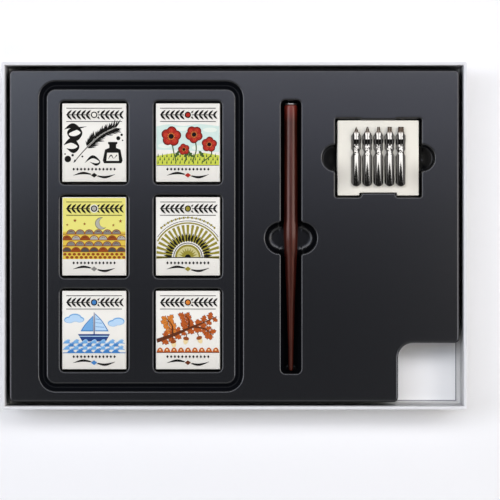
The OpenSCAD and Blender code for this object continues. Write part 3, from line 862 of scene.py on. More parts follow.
# %% Ferrule
BEAD, LIP, LIP_DROP = 0.3, 0.08, 0.1
ferrule = bmesh.new()
inner = FERRULE_R - FERRULE_WALL
bead = [(FERRULE_R + BEAD * math.sin(t), tip_y - BEAD - BEAD * math.cos(t)) for t in
        [math.radians(15 * k) for k in range(1, 12)]]
lathe(ferrule, pen_x, pen_z, [(FERRULE_R, wood_end_y - FERRULE_IN)] + bead
      + [(FERRULE_R - LIP, tip_y), (inner, tip_y - LIP_DROP), (inner, wood_end_y - FERRULE_IN)], closed=True)
finish_piece("pen_drawn_ferrule", ferrule, [drawn_steel], "pen", ["pen_ferrule"])

# %% [markdown]
# A carton is die-cut from 0.4 mm board, folded into a sleeve and closed by tucked end flaps.
# So each one here is a tube with softly rounded folds and wall thickness, plus two end panels
# set in by the thickness of the board, which leaves the fine shadow line seen on a real one.


# %% Cartons
def slab(bm, corners, low_z, high_z, edge, steps=3):
    """A flat plate with rounded upper and lower edges."""
    down = quarter(edge, steps)
    profile = [(inset, low_z + drop) for inset, drop in down]
    profile += [(inset, high_z - drop) for inset, drop in reversed(down)]
    sweep(bm, corners, profile, capped=True)


BOARD, FOLD_R, CUT = 0.4, 0.6, 0.08
FLAP_SET_IN, FLAP_PLAY, FLAP_R, FLAP_EDGE = 0.35, 0.05, 0.5, 0.1
TO_Y = Matrix(((1, 0, 0, 0), (0, 0, 1, 0), (0, 1, 0, 0), (0, 0, 0, 1)))
for ink, (low, high) in cartons.items():
    folded = bmesh.new()
    sweep(folded, rectangle(low.x, high.x, low.z, high.z, FOLD_R),
          [(CUT, low.y), (0, low.y + CUT), (0, high.y - CUT), (CUT, high.y),
           (BOARD, high.y), (BOARD, low.y)], closed=True)
    play = BOARD + FLAP_PLAY
    flap = rectangle(low.x + play, high.x - play, low.z + play, high.z - play, FLAP_R)
    slab(folded, flap, low.y + FLAP_SET_IN, low.y + FLAP_SET_IN + BOARD, FLAP_EDGE)
    slab(folded, flap, high.y - FLAP_SET_IN - BOARD, high.y - FLAP_SET_IN, FLAP_EDGE)
    bmesh.ops.transform(folded, matrix=TO_Y, verts=folded.verts)
    finish_piece("folded_carton_" + ink, folded, [carton_board], "carton_" + ink, ["carton_" + ink])

# %% [markdown]
# The cartons carry printed pictures. Ink on coated board has no height that can be seen, but
# flat shapes in thin layers give crisp edges at any size and need no image. Each picture is
# one piece: flat faces in levels 0.03 mm apart, then a Solidify that makes closed films. The
# ink is matt, and a fine mottle breaks up its flat areas as the board's face does.

# %% Printed inks
PRINT_STEP = 0.03
STEP_SHARE = 0.9
PRINT_FILM = 0.012
PRINT_X, PRINT_Y = 20.3, 24.8
GOLDEN = 0.618034
PRINT_TONES = {
    "black": "#070708", "cream": "#e2dfd4", "grey": "#7d7c76", "pale_grey": "#a9a79c", "deep_grey": "#4a4945",
    "red": "#a3241c", "dark_red": "#5f1511", "bright_red": "#bf3a28", "gold": "#c9a544", "green": "#3f5a2c",
    "grass": "#c3ca4c", "sky": "#c9dcd3", "pale_sky": "#dde6da", "yellow": "#dfd876", "amber": "#d6ba48",
    "rust": "#8c4419", "olive": "#8d832e", "pale_olive": "#c4bd86", "blue": "#3c79b6", "mid_blue": "#6fa5d4",
    "pale_blue": "#b3d0e8", "navy": "#1f3f78", "orange": "#cf7a2e", "leaf_brown": "#b3551f",
    "umber": "#5c2b14", "straw": "#e6cf9a"}


def printed_ink(tone, colour):
    """Offset ink on coated board, with a fine mottle."""
    material, tree, shader = new_finish(
        "offset_printed_ink_" + tone, {"IOR": 1.5, "Specular IOR Level": 0.0})
    mottle = noise(tree, object_place(tree), 0.5, 4.0)
    feed(shader, {"Base Color": mixed(tree, ramp(tree, mottle, 0.0, 0.03), rgb(colour), rgb("#d8d3c4")),
                  "Roughness": ramp(tree, mottle, 0.42, 0.58)})
    return material


tone_names = list(PRINT_TONES)
print_inks = [printed_ink(tone, colour) for tone, colour in PRINT_TONES.items()]
print("printed inks:", len(print_inks))


# %% Shapes of a print
def printer(picture):
    """Gives a function that puts flat faces on a picture, each at a height of its own."""
    def put(points, tone, level):
        for face in points if isinstance(points[0][0], (tuple, list)) else [points]:
            rise = (level + STEP_SHARE * (len(picture.faces) * GOLDEN % 1)) * PRINT_STEP
            verts = [picture.verts.new((min(max(x, -PRINT_X), PRINT_X), min(max(y, -PRINT_Y), PRINT_Y), rise))
                     for x, y in face]
            picture.faces.new(verts).material_index = tone_names.index(tone)
    return put


def oval(x, y, half_x, half_y=None, count=28, start=0.0, sweep=360.0):
    half_y = half_x if half_y is None else half_y
    turns = [math.radians(start + sweep * k / count) for k in range(count if sweep == 360 else count + 1)]
    return [(x + half_x * math.cos(t), y + half_y * math.sin(t)) for t in turns]


def curve_through(points, steps=8):
    """A smooth line through the given points."""
    ends = [points[0]] + list(points) + [points[-1]]
    line = []
    for a, b, c, d in zip(ends, ends[1:], ends[2:], ends[3:]):
        for k in range(steps):
            t = k / steps
            line.append(tuple(0.5 * (2 * q + (r - p) * t + (2 * p - 5 * q + 4 * r - s) * t * t
                                     + (3 * q - p - 3 * r + s) * t ** 3)
                              for p, q, r, s in zip(a, b, c, d)))
    return line + [points[-1]]


def ribbon(line, widths):
    """Four-sided faces along a line, whose width runs smoothly through the given widths."""
    sides = []
    for k, point in enumerate(line):
        ahead, back = line[min(k + 1, len(line) - 1)], line[max(k - 1, 0)]
        across = Vector((back[1] - ahead[1], ahead[0] - back[0])).normalized()
        place = k / (len(line) - 1) * (len(widths) - 1)
        step = min(int(place), len(widths) - 2)
        half = (widths[step] + (widths[step + 1] - widths[step]) * smooth_step(place - step)) / 2
        sides.append(((point[0] + across.x * half, point[1] + across.y * half),
                      (point[0] - across.x * half, point[1] - across.y * half)))
    return [[a[0], b[0], b[1], a[1]] for a, b in zip(sides, sides[1:])]


def rule(half, y, width):
    """A straight line across the picture."""
    return ribbon([(-half, y), (half, y)], (width, width))


def stroke(points, widths):
    return ribbon(curve_through(points), widths)


LEAF_STEPS = 24


def leaf(length, width, lobes=0):
    """A leaf that grows along +X from the origin, with lobed edges if asked for."""
    edge = []
    for k in range(1, LEAF_STEPS):
        t = k / LEAF_STEPS
        swell = math.sin(math.pi * t ** 0.8) * (1 + 0.28 * math.sin(lobes * 2 * math.pi * t) * (lobes > 0))
        edge.append((length * t, width / 2 * swell))
    return [(0, 0)] + [(x, -y) for x, y in edge] + [(length, 0)] + edge[::-1]


def moved(points, x, y, turn=0.0, size=1.0):
    c, s = math.cos(math.radians(turn)) * size, math.sin(math.radians(turn)) * size
    return [(x + c * p - s * q, y + s * p + c * q) for p, q in points]


# %% [markdown]
# What repeats in a picture is spread by Geometry Nodes: rays and petals round a centre, waves
# and tufts in rows, leaves and barbs along a curve. Each tree puts the carrier's own small
# mesh on computed points. The result is turned into plain faces before it joins the print.


# %% A tree that repeats a motif
def repeating_tree(name, place_motifs, **sizes):
    """A tree that puts its motif on points, turned and sized as place_motifs says."""
    tree = bpy.data.node_groups.new(name, "GeometryNodeTree")
    inputs = {"Motif": "Geometry", **sizes, "Finish": "Material"}
    for label, kind in inputs.items():
        tree.interface.new_socket(label, in_out="INPUT", socket_type="NodeSocket" + kind)
    tree.interface.new_socket("Print", in_out="OUTPUT", socket_type="NodeSocketGeometry")
    given = add(tree, "NodeGroupInput").outputs
    points, turn, size = place_motifs(tree, given, add(tree, "GeometryNodeInputIndex").outputs[0])
    rotation = add(tree, "ShaderNodeCombineXYZ", {"Z": turn}).outputs[0]
    copies = add(tree, "GeometryNodeInstanceOnPoints",
                 {"Points": points, "Instance": given["Motif"], "Rotation": rotation, "Scale": size})
    real = add(tree, "GeometryNodeRealizeInstances", {"Geometry": copies.outputs[0]})
    coloured = add(tree, "GeometryNodeSetMaterial",
                   {"Geometry": real.outputs[0], "Material": given["Finish"]})
    add(tree, "NodeGroupOutput", {"Print": coloured.outputs[0]})
    return tree


# %% Three ways to place the motif
def dots_at(tree, count, x, y, start):
    flat = add(tree, "ShaderNodeCombineXYZ", {"X": x, "Y": y}).outputs[0]
    place = add(tree, "ShaderNodeVectorMath", {0: flat, 1: start}, operation="ADD").outputs[0]
    return add(tree, "GeometryNodePoints", {"Count": count, "Position": place}).outputs[0]


def place_round(tree, given, index):
    angle = maths(tree, "ADD", maths(tree, "MULTIPLY", index, given["step"]), given["first"])
    x, y = [maths(tree, "MULTIPLY", maths(tree, wave, angle), given["radius"]) for wave in ("COSINE", "SINE")]
    return dots_at(tree, given["count"], x, y, given["centre"]), angle, (1, 1, 1)


def place_in_rows(tree, given, index):
    row = maths(tree, "FLOOR", maths(tree, "DIVIDE", index, given["columns"]))
    column = maths(tree, "MODULO", index, given["columns"])
    shift = maths(tree, "MULTIPLY", maths(tree, "MODULO", row, 2.0), given["stagger"])
    x = maths(tree, "ADD", maths(tree, "MULTIPLY", column, given["pitch_x"]), shift)
    y = maths(tree, "MULTIPLY", row, given["pitch_y"])
    return dots_at(tree, given["count"], x, y, given["start"]), 0.0, (1, 1, 1)


def place_along(tree, given, index):
    stem = add(tree, "GeometryNodeCurveQuadraticBezier",
               {"Start": given["start"], "Middle": given["middle"], "End": given["end"], "Resolution": 32})
    dots = add(tree, "GeometryNodeCurveToPoints", {"Curve": stem.outputs[0], "Count": given["count"]})
    heading = apart(tree, dots.outputs["Tangent"])
    side = maths(tree, "SUBTRACT", maths(tree, "MULTIPLY", maths(tree, "MODULO", index, 2.0), 2.0), 1.0)
    turn = maths(tree, "ADD", maths(tree, "ARCTAN2", heading["Y"], heading["X"]),
                 maths(tree, "MULTIPLY", side, given["lean"]))
    chance = add(tree, "FunctionNodeRandomValue",
                 {"Min": given["small"], "Max": given["large"], "Seed": given["seed"]}, data_type="FLOAT")
    return dots.outputs[0], turn, chance.outputs["Value"]


round_centre = repeating_tree(
    "round_centre", place_round, count="Int", radius="Float", first="Float", step="Float", centre="Vector")
in_rows = repeating_tree(
    "in_rows", place_in_rows, count="Int", columns="Int", pitch_x="Float", pitch_y="Float",
    stagger="Float", start="Vector")
along_curve = repeating_tree(
    "along_curve", place_along, count="Int", start="Vector", middle="Vector", end="Vector", lean="Float",
    small="Float", large="Float", seed="Int")
print("repeating trees:", len(bpy.data.node_groups))


# %% One motif, repeated
def repeat(tree, motif, **sizes):
    """Faces of a motif that a tree has repeated, as lists of (x, y)."""
    carrier_mesh = bpy.data.meshes.new("motif")
    carrier_mesh.from_pydata([(x, y, 0) for x, y in motif], [], [range(len(motif))])
    carrier = bpy.data.objects.new("motif", carrier_mesh)
    scene.collection.objects.link(carrier)
    modifier = carrier.modifiers.new("repeat", "NODES")
    modifier.node_group = tree
    values = {**sizes, "Finish": print_inks[0]}
    for item in tree.interface.items_tree:
        if item.in_out == "INPUT" and item.name in values:
            modifier[item.identifier] = values[item.name]
    result = bpy.data.meshes.new_from_object(carrier.evaluated_get(bpy.context.evaluated_depsgraph_get()))
    faces = [[tuple(result.vertices[v].co[:2]) for v in polygon.vertices] for polygon in result.polygons]
    carrier.modifiers.remove(modifier)
    bpy.data.objects.remove(carrier)
    bpy.data.meshes.remove(carrier_mesh)
    bpy.data.meshes.remove(result)
    return faces


# %% Round, in a row and along a curve
def spin(motif, x, y, count, step, first, radius=0.0):
    """A motif turned round a centre, with its angles in degrees."""
    return repeat(round_centre, motif, count=count, radius=radius, first=math.radians(first),
                  step=math.radians(step), centre=(x, y, 0))


def lined_up(motif, x, y, count, pitch):
    return repeat(in_rows, motif, count=count, columns=count, pitch_x=pitch, start=(x, y, 0))


def grown(motif, count, way, lean, small, large, seed):
    """A motif on both sides of a curve through three points."""
    start, middle, end = [(x, y, 0) for x, y in way]
    return repeat(along_curve, motif, count=count, start=start, middle=middle, end=end, lean=lean,
                  small=small, large=large, seed=seed)


# %% [markdown]
# The pictures share a foot: a row of small lozenges, one thick-and-thin pen stroke and a
# lozenge in the colour of the ink. They share a head too, a straight vine between two rules.
# Between them, each shows something of the ink's own colour.


# %% Foot and head of every picture
LOZENGE = [(0.8, 0), (0, 1.0), (-0.8, 0), (0, -1.0)]


def picture_foot(put, tone):
    put(lined_up(LOZENGE, -13.2, -17.2, 12, 2.4), "black", 7)
    put(stroke([(-13.5, -21.2), (-7, -19.7), (0, -21.0), (7, -22.4), (13.5, -20.6)],
               (0.2, 1.5, 0.5, 1.5, 0.2)), "black", 7)
    for wide, tall, colour, level in ((3.4, 2.1, "cream", 8), (2.6, 1.55, tone, 9)):
        put([(x * wide, y * tall - 21.1) for x, y in LOZENGE], colour, level)


def picture_head(put, tone):
    """A straight running vine between two rules, with a berry in the middle."""
    y = 17.9
    for lean in (0.8, -0.8):
        put(grown(leaf(4.4, 1.35), 12, ((-17.6, y), (0, y), (16.4, y)), lean, 0.85, 1.05, 3), "black", 8)
    put(rule(18, y, 0.5), "black", 9)
    for edge in (13.6, 22.2):
        put(rule(18, edge, 0.4), "black", 8)
    for radius, count, colour, level in ((2.7, 20, "cream", 10), (2.1, 20, "black", 11), (1.4, 16, tone, 12)):
        put(oval(0, y, radius, count=count), colour, level)


# %% Black: a quill, an inkwell and flourishes
def draw_black(put):
    barb = [(x, y + 0.12 * x) for x, y in leaf(7.4, 1.1)]
    for lean, count, seed in ((0.55, 46, 1), (0.85, 30, 4)):
        put(grown(barb, count, ((-5.0, -3.4), (3.6, 6.0), (13.6, 9.4)), lean, 0.55, 1.0, seed), "black", 2)
    shaft = [(-12.6, -12.2), (-5.8, -4.4), (4.0, 4.6), (14.6, 9.8)]
    put(stroke(shaft, (0.9, 0.9, 0.6, 0.25)), "cream", 3)
    put(stroke(shaft, (0.5, 0.5, 0.3, 0.1)), "black", 4)
    put([(-13.4, -13.2), (-11.6, -11.9), (-12.7, -10.9)], "black", 4)
    half = [(5.6, -13.4), (6.4, -11.6), (5.0, -4.6), (2.2, -3.4), (2.2, -1.4), (3.0, -0.8), (3.0, 0.4)]
    well = [(12 + x, y) for x, y in half] + [(12 - x, y) for x, y in reversed(half)]
    put(well[-1:] + well[:-1], "black", 3)
    put([(7.9, -11.8), (16.1, -11.8), (15.6, -6.6), (8.4, -6.6)], "cream", 4)
    put(stroke([(9.2, -10.4), (11, -8.2), (12.6, -10.2), (14.8, -8.0)], (0.2, 0.8, 0.2, 0.6)), "black", 5)
    swirls = [
        ([(-19.2, 8.6), (-13.6, 10.8), (-8.2, 6.6), (-12.0, 2.6), (-16.6, 4.8), (-15.0, 8.0), (-5, 10.4)],
         (0.3, 3.4, 1.2, 3.4, 0.8, 2.4, 0.2)),
        ([(-19.6, -1.6), (-14.6, 1.4), (-10.2, -2.4), (-13.2, -5.4), (-17.8, -3.8)],
         (0.3, 3.2, 1.2, 2.8, 0.3)),
        ([(-6, -13.0), (-1.0, -9.2), (3.6, -12.2), (1.4, -14.2), (-2.6, -12.6)], (0.2, 2.0, 0.6, 1.6, 0.2))]
    for points, widths in swirls:
        put(stroke(points, widths), "black", 1)
    for x, y, radius in ((-17.0, -10.6, 2.1), (-13.9, -8.2, 0.8), (-18.8, -7.4, 0.5), (17.8, 5.0, 0.8),
                         (15.6, 2.8, 1.3), (18.4, 1.4, 0.45), (-7.6, -9.0, 0.6)):
        put(oval(x, y, radius), "black", 2)
    picture_foot(put, "black")


# %% Red: poppies on a bank
SHORE = -14.7


def draw_red(put):
    wash = [(-20.3, -4.5)] + curve_through([(-20.3, 10.4), (-12, 11.9), (-3, 10.8), (7, 12.0), (20.3, 10.6)])
    put(wash + [(20.3, -6)], "sky", 0)
    for x, y, a, b in ((-4, 8.8, 5.0, 1.3), (14.4, 8.2, 4.6, 1.5), (-15, -2.0, 4.4, 1.6),
                       (6.5, -3.4, 4.0, 1.6)):
        put(oval(x, y, a, b), "pale_sky", 1)
    put([(-20.3, -14.6), (20.3, -14.6), (20.3, -8.2), (10, -6.6), (0, -8.4), (-10, -6.9), (-20.3, -8.6)],
        "grass", 1)
    put(repeat(in_rows, [(0.5, 0), (0.15, 2.6), (-0.5, 0)], count=42, columns=14, pitch_x=2.85, pitch_y=-2.1,
               stagger=1.3, start=(-19.3, -9.4, 0)), "green", 2)
    put(rule(PRINT_X, SHORE, 0.35), "black", 4)
    for x, y, size, first in ((-10.8, 4.0, 6.2, 12), (4.0, 5.2, 5.4, 50), (13.8, -1.2, 4.8, 85),
                              (-2.6, -4.4, 3.6, 30)):
        put(stroke([(x, y), (x + 1.4, (y - 14) / 2), (x * 0.7, -12.4)], (0.9, 0.7, 0.8)), "green", 2)
        put(moved(leaf(5.5, 2.2, 3), x * 0.75, -9.4, 58 if x < 0 else 128), "green", 2)
        for grow, tone, level in ((1.0, "dark_red", 3), (0.88, "red", 4)):
            petal = oval(size * 0.5 * grow, 0, size * 0.56 * grow, size * 0.54 * grow, 20)
            put(spin(petal, x, y, 5, 72, first), tone, level)
        sheen = oval(size * 0.52, 0, size * 0.26, size * 0.24, 14)
        put(spin(sheen, x, y, 5, 72, first + 8), "bright_red", 5)
        vein = [(size * 0.3, -0.12), (size * 0.92, 0), (size * 0.3, 0.12)]
        put(spin(vein, x, y, 20, 18, math.degrees(0.1)), "dark_red", 6)
        put(oval(x, y, size * 0.25), "black", 7)
        put(spin(oval(0, 0, size * 0.045, count=8), x, y, 12, 30, 0, size * 0.33), "gold", 8)
    picture_foot(put, "red")


# %% Silver: a moon over banks of cloud
def draw_silver(put):
    for near, far, tone, level in ((-14.6, 24.9, "yellow", 0), (-14.8, 3, "amber", 1)):
        put([(-PRINT_X, near), (PRINT_X, near), (PRINT_X, far), (-PRINT_X, far)], tone, level)
    moon = oval(4.6, 14.4, 7.2, start=74, sweep=247) + oval(8.4, 15.6, 6.0, start=287, sweep=-180)
    put(moved(moon, 2.06, 0.4, 0, 0.55), "deep_grey", 2)
    inner = oval(4.6, 14.4, 6.6, start=84, sweep=229) + oval(8.2, 15.6, 6.1, start=278, sweep=-160)
    put(moved(inner, 2.06, 0.4, 0, 0.55), "pale_grey", 3)
    star = [(r * math.cos(math.radians(36 * k)), r * math.sin(math.radians(36 * k)))
            for k, r in enumerate((1.3, 0.5) * 5)]
    for x, y, size in ((-12.4, 10.2, 1.0), (-6.2, 8.0, 0.8), (-17.4, 7.4, 0.7), (17.0, 9.8, 1.0),
                       (12.4, 7.2, 0.8)):
        put(moved(star, x, y, 18, size), "rust", 3)
    pitch = 5.85
    banks = ((1.4, "grey"), (-2.4, "pale_grey"), (-6.2, "grey"), (-10.0, "deep_grey"))
    for row, (y, tone) in enumerate(banks):
        x, count = (-17.6, 7) if row % 2 else (-14.9, 6)
        for radius, colour, level in ((3.1, "rust", 2 + row), (2.6, tone, 2.5 + row)):
            put(lined_up(oval(0, 0, radius, radius, 20, 0, 180), x, y, count, pitch), colour, level)
        for face in ribbon(oval(0, 0, 1.5, 1.4, 10, 20, 150), (0.1, 0.5, 0.1)):
            put(lined_up(face, x, y + 0.5, count, pitch), "umber", 2.8 + row)
        put(rule(PRINT_X, y, 0.5), "rust", 2.9 + row)
    put(repeat(in_rows, oval(0, 0, 1.1, 0.9, 12), count=26, columns=13, pitch_x=3.05, pitch_y=-2.0,
               stagger=1.5, start=(-18.9, -11.6, 0)), "rust", 6.5)
    picture_foot(put, "grey")


# %% Gold: a rising sun
def draw_gold(put):
    y = -13.6
    ray = [(10.4, -0.42), (21.08, -0.9), (21.08, 0.9), (10.4, 0.42)]
    put(spin(ray, 0, y, 21, 9, 0), "olive", 1)
    put(spin([(9.8, 0), (12.0, -1.15), (15.84, 0), (12.0, 1.15)], 0, y, 20, 9, 4.5), "black", 1)
    for radius, tone, width in ((9.2, "black", 0.5), (22.2, "olive", 0.9), (23.6, "black", 0.35)):
        cut = 0 if radius < 18 else math.degrees(math.acos(19.6 / radius))
        put(ribbon(oval(0, y, radius, radius, 40, cut, 180 - 2 * cut), (width, width)), tone, 2)
    put(oval(0, y, 8.3, 8.3, 28, 0, 180), "olive", 3)
    put(oval(0, y, 7.0, 7.0, 28, 0, 180), "pale_olive", 4)
    put(spin([(1.2, 0), (3.1, -0.75), (6.4, 0), (3.1, 0.75)], 0, y, 9, 18, 18), "olive", 5)
    put(oval(0, y, 1.9, 1.9, 16, 0, 180), "black", 6)
    put(spin(oval(0, 0, 0.75, count=12), 0, y, 15, 6, 48, 25.7), "olive", 3)
    put(spin(oval(0, 0, 0.4, count=10), 0, y, 14, 6, 51, 25.7), "black", 3)
    put(rule(PRINT_X, -13.7, 0.5), "black", 6)
    picture_foot(put, "olive")


# %% Blue: a boat under sail
def draw_blue(put):
    for x, y, a in ((-16.0, 6.6, 3.4), (-12.4, 8.0, 4.2), (-9.4, 6.8, 3.0), (12.2, 4.4, 3.4),
                    (15.6, 5.6, 4.0)):
        put(oval(x, y, a, a * 0.62), "mid_blue", 1)
        put(oval(x, y - 0.3, a - 0.5, a * 0.62 - 0.5), "pale_blue", 2)
    put([(-10.5, -2.6), (10.2, -2.6), (7.6, -7.4), (-7.6, -7.4)], "navy", 3)
    put(ribbon([(-9.6, -4.0), (9.2, -4.0)], (0.5, 0.5)), "pale_blue", 4)
    put(ribbon([(0, -3), (0, 11.4)], (0.7, 0.4)), "navy", 3)
    main_sail = curve_through([(0.6, 10.8), (5.2, 6.0), (9.4, -0.8)]) + [(0.6, -0.8)]
    put(main_sail, "blue", 3)
    put([(x * 0.86 + 0.25, y * 0.88 + 0.5) for x, y in main_sail], "pale_blue", 4)
    fore_sail = [(-0.6, 9.4), (-0.6, -0.8)] + curve_through([(-8.8, -0.8), (-6.0, 3.6), (-0.6, 9.4)])[:-1]
    put(fore_sail, "blue", 3)
    put([(x * 0.84 - 0.35, y * 0.86 + 0.5) for x, y in fore_sail], "mid_blue", 4)
    for y in (2.2, 4.8, 7.2):
        put(ribbon([(0.9, y), (8.0 - y * 0.62, y - 0.4)], (0.3, 0.3)), "blue", 5)
    crest = curve_through([(-2.9, -1.3), (-1.3, 0.6), (0.6, 1.5), (1.9, 0.5), (1.2, -0.3), (2.9, -1.3)], 5)
    foam = ribbon(curve_through([(-2.2, -0.7), (-0.9, 0.7), (0.6, 1.1), (1.5, 0.5)], 4), (0.1, 0.45, 0.1))
    pitch = 5.75
    for row, y in enumerate((-7.4, -9.4, -11.4, -13.2)):
        x, count = (-14.6, 6) if row % 2 else (-17.3, 7)
        put(lined_up(crest, x, y, count, pitch), "blue" if row % 2 else "mid_blue", 5 + row * 0.5)
        for face in foam:
            put(lined_up(face, x, y, count, pitch), "pale_blue", 5.3 + row * 0.5)
    put(rule(PRINT_X, SHORE, 0.5), "blue", 7)
    picture_foot(put, "blue")


# %% Brown: an oak bough
def draw_brown(put):
    bough = [(-20.2, -7.0), (-9, -3.0), (2, 1.6), (11, 5.2), (18.6, 8.8)]
    put(stroke(bough, (2.6, 2.0, 1.4, 0.8, 0.4)), "umber", 3)
    for start, end in (((-10, -3.4), (-13.0, 6.6)), ((0.4, 0.9), (-1.8, 9.6)), ((3.4, 2.2), (15.2, -2.6))):
        middle = ((start[0] + end[0]) / 2 + 1.4, (start[1] + end[1]) / 2 + 1.0)
        put(stroke([start, middle, end], (1.2, 0.4)), "umber", 3)
    runs = ((((-17, -6), (-2, 0), (16, 7.6)), 17, 3), (((-10, -3), (-12, 2), (-13.4, 7)), 8, 8),
            (((0, 1.4), (-0.6, 5), (-2, 9)), 8, 15), (((4, 2.6), (10, 2.4), (15, -2.6)), 9, 21))
    for way, count, seed in runs:
        tone = "leaf_brown" if seed % 2 else "orange"
        for motif, colour, level in (
                (leaf(6.4, 4.6, 3), "umber", 1), (moved(leaf(5.8, 3.9, 3), 0.3, 0), tone, 2),
                ([(0, -0.16), (5.2, 0), (0, 0.16)], "umber", 4)):
            put(grown(motif, count, way, 0.95, 0.6, 0.92, seed), colour, level)
    for x, y, turn in ((-9.6, -6.6, -80), (-1.0, -4.6, -100), (7.0, -4.2, -70)):
        put(moved(oval(2.4, 0, 2.3, 1.5), x, y, turn), "straw", 5)
        put(moved(oval(0.9, 0, 1.2, 1.9), x, y, turn), "rust", 6)
        put(ribbon([moved([(-2.6, 0)], x, y, turn)[0], (x, y)], (0.5, 0.5)), "umber", 4)
    hill = curve_through([(-2.3, -1.4), (-1.2, 0.9), (0.2, 1.6), (1.4, 0.7), (2.3, -1.4)], 5)
    put(lined_up(hill, -18.0, -12.9, 9, 4.5), "leaf_brown", 3)
    put(lined_up(oval(0, 0.1, 0.7, 0.5, 10), -18.0, -12.9, 9, 4.5), "straw", 4)
    put(rule(PRINT_X, -14.5, 0.5), "umber", 4)
    picture_foot(put, "umber")


# %% Print all six
PICTURES = {"black": (draw_black, "cream"), "red": (draw_red, "red"), "silver": (draw_silver, "pale_grey"),
            "gold": (draw_gold, "olive"), "blue": (draw_blue, "blue"), "brown": (draw_brown, "orange")}
for ink, (low, high) in cartons.items():
    picture = bmesh.new()
    draw, head_tone = PICTURES[ink]
    draw(printer(picture))
    picture_head(printer(picture), head_tone)
    picture.normal_update()
    bmesh.ops.reverse_faces(picture, faces=[face for face in picture.faces if face.normal.z < 0])
    centre = Vector(((low.x + high.x) / 2, (low.y + high.y) / 2, high.z + PRINT_STEP))
    bmesh.ops.translate(picture, vec=centre, verts=picture.verts)
    film = finish_piece("carton_print_" + ink, picture, print_inks, "carton_" + ink,
                        smooth=False, face_out=False)
    depth = film.modifiers.new("ink_film", "SOLIDIFY")
    depth.thickness = PRINT_FILM * MM
    depth.offset = -1

# %% [markdown]
# Inside each carton a small square bottle of ink lies on its back. The bottle is pressed
# soda-lime glass, the cap is moulded with a fine texture, and a foam disc seals it.

# %% Bottles and inks
clear_glass, tree, shader = new_finish("pressed_clear_soda_lime_glass", {
    "Base Color": rgb("#eef5f3"), "Transmission Weight": 1.0, "IOR": 1.52})
ripple = noise(tree, object_place(tree), 6, 1.0)
feed(shader, {"Roughness": ramp(tree, ripple, 0.02, 0.07), "Normal": bump(tree, ripple, 0.3, 0.1)})


def grainy(name, colour, speck, sockets, grain_mm, roughness, relief_mm):
    """A finish with a fine even texture, in two near colours."""
    material, tree, shader = new_finish(name, sockets)
    grains = noise(tree, object_place(tree), grain_mm, 3.0)
    feed(shader, {"Base Color": mixed(tree, grains, rgb(colour), rgb(speck)),
                  "Roughness": ramp(tree, grains, roughness * 0.8, roughness * 1.2),
                  "Normal": bump(tree, grains, 0.4, relief_mm)})
    return material


moulded_black = grainy("moulded_black_phenolic", "#131314", "#1b1b1d", {"IOR": 1.6}, 0.4, 0.4, 0.02)
seal_foam = grainy("white_polyethylene_foam", "#e6e3da", "#d6d2c6", {"IOR": 1.5}, 0.6, 0.8, 0.1)
INK_COLOURS = {
    "black": ("#0b0b0c", "#111113"), "red": ("#7a0f12", "#8c1417"), "silver": ("#9a9a98", "#b8b8b6"),
    "gold": ("#8f7a35", "#a99046"), "blue": ("#12386f", "#174787"), "brown": ("#4a2614", "#5a3019")}
for ink, (colour, speck) in INK_COLOURS.items():
    body = {"IOR": 1.35, "Metallic": 0.5 if ink in ("silver", "gold") else 0.0}
    dress("ink_" + ink, grainy("liquid_ink_" + ink, colour, speck, body, 1.2, 0.06, 0.005))
    dress("bottle_" + ink, clear_glass)
    dress("cap_" + ink, moulded_black)
    dress("cap_seal_" + ink, seal_foam)
print("finishes:", len(bpy.data.materials))

# %% [markdown]
# The nib box is a shallow box of plain card, closed by a card with flaps that the nibs lie
# on. Each is a folded sheet, so every edge gets a small radius and every wall its thickness.
# The near edge has a shallow recess, which lets the box pass the lug that holds it down.

# %% Nib box
NIB_CARD = 0.5
RELIEF_HALF, RELIEF = 12.2, 1.8
BOX_EDGE, LID_EDGE = 0.4, 0.35
LID_PLAY, LID_GAP = 0.1, 0.02
PLAN_R, RELIEF_R = 0.6, 0.5
nib_plan = rectangle(nib_low.x, nib_high.x, nib_low.y, nib_high.y, PLAN_R)
nib_plan += [((nib_x + side * RELIEF_HALF, nib_low.y + rise), RELIEF_R)
             for side, rise in ((-1, 0), (-1, RELIEF), (1, RELIEF), (1, 0))]
card_under = nib_high.z - NIB_CARD
wall_top = card_under - LID_GAP
tray_card = bmesh.new()
box_profile = [(inset, nib_bottom + drop) for inset, drop in quarter(BOX_EDGE, 3)]
box_profile += [(0, wall_top), (NIB_CARD, wall_top), (NIB_CARD, nib_bottom + NIB_CARD)]
sweep(tray_card, nib_plan, box_profile, capped=True)
finish_piece("nib_card_box", tray_card, [nib_card_board], "nib_box", ["nib_box"])

lid_card = bmesh.new()
flap = NIB_CARD + LID_PLAY
lid_profile = [(flap + NIB_CARD, card_under), (flap + NIB_CARD, nib_low.z), (flap, nib_low.z),
               (flap, card_under), (LID_PLAY, card_under)]
lid_profile += [(inset, nib_high.z - drop) for inset, drop in reversed(quarter(LID_EDGE, 3))]
sweep(lid_card, nib_plan, lid_profile, capped=True)
finish_piece("nib_lid_card", lid_card, [nib_card_board], "nib_box", ["nib_card"])

# %% [markdown]
# A nib is pressed from a flat blank of 0.3 mm steel and then rolled. So it is made the same
# way here: the flat pattern with its slit and vent hole is filled with a net of triangles,
# and each point is bent round a radius that changes along the nib. The shank is half a tube,
# the waist is pinched and crinkled, and the tip opens out nearly flat.


# %% Rolled form of a nib
def between(keys, v):
    """Smooth value at v of a table of (v, value) rows."""
    if v <= keys[0][0]:
        return keys[0][1]
    for (v0, a), (v1, b) in zip(keys, keys[1:]):
        if v <= v1:
            return a + (b - a) * smooth_step((v - v0) / (v1 - v0))
    return keys[-1][1]


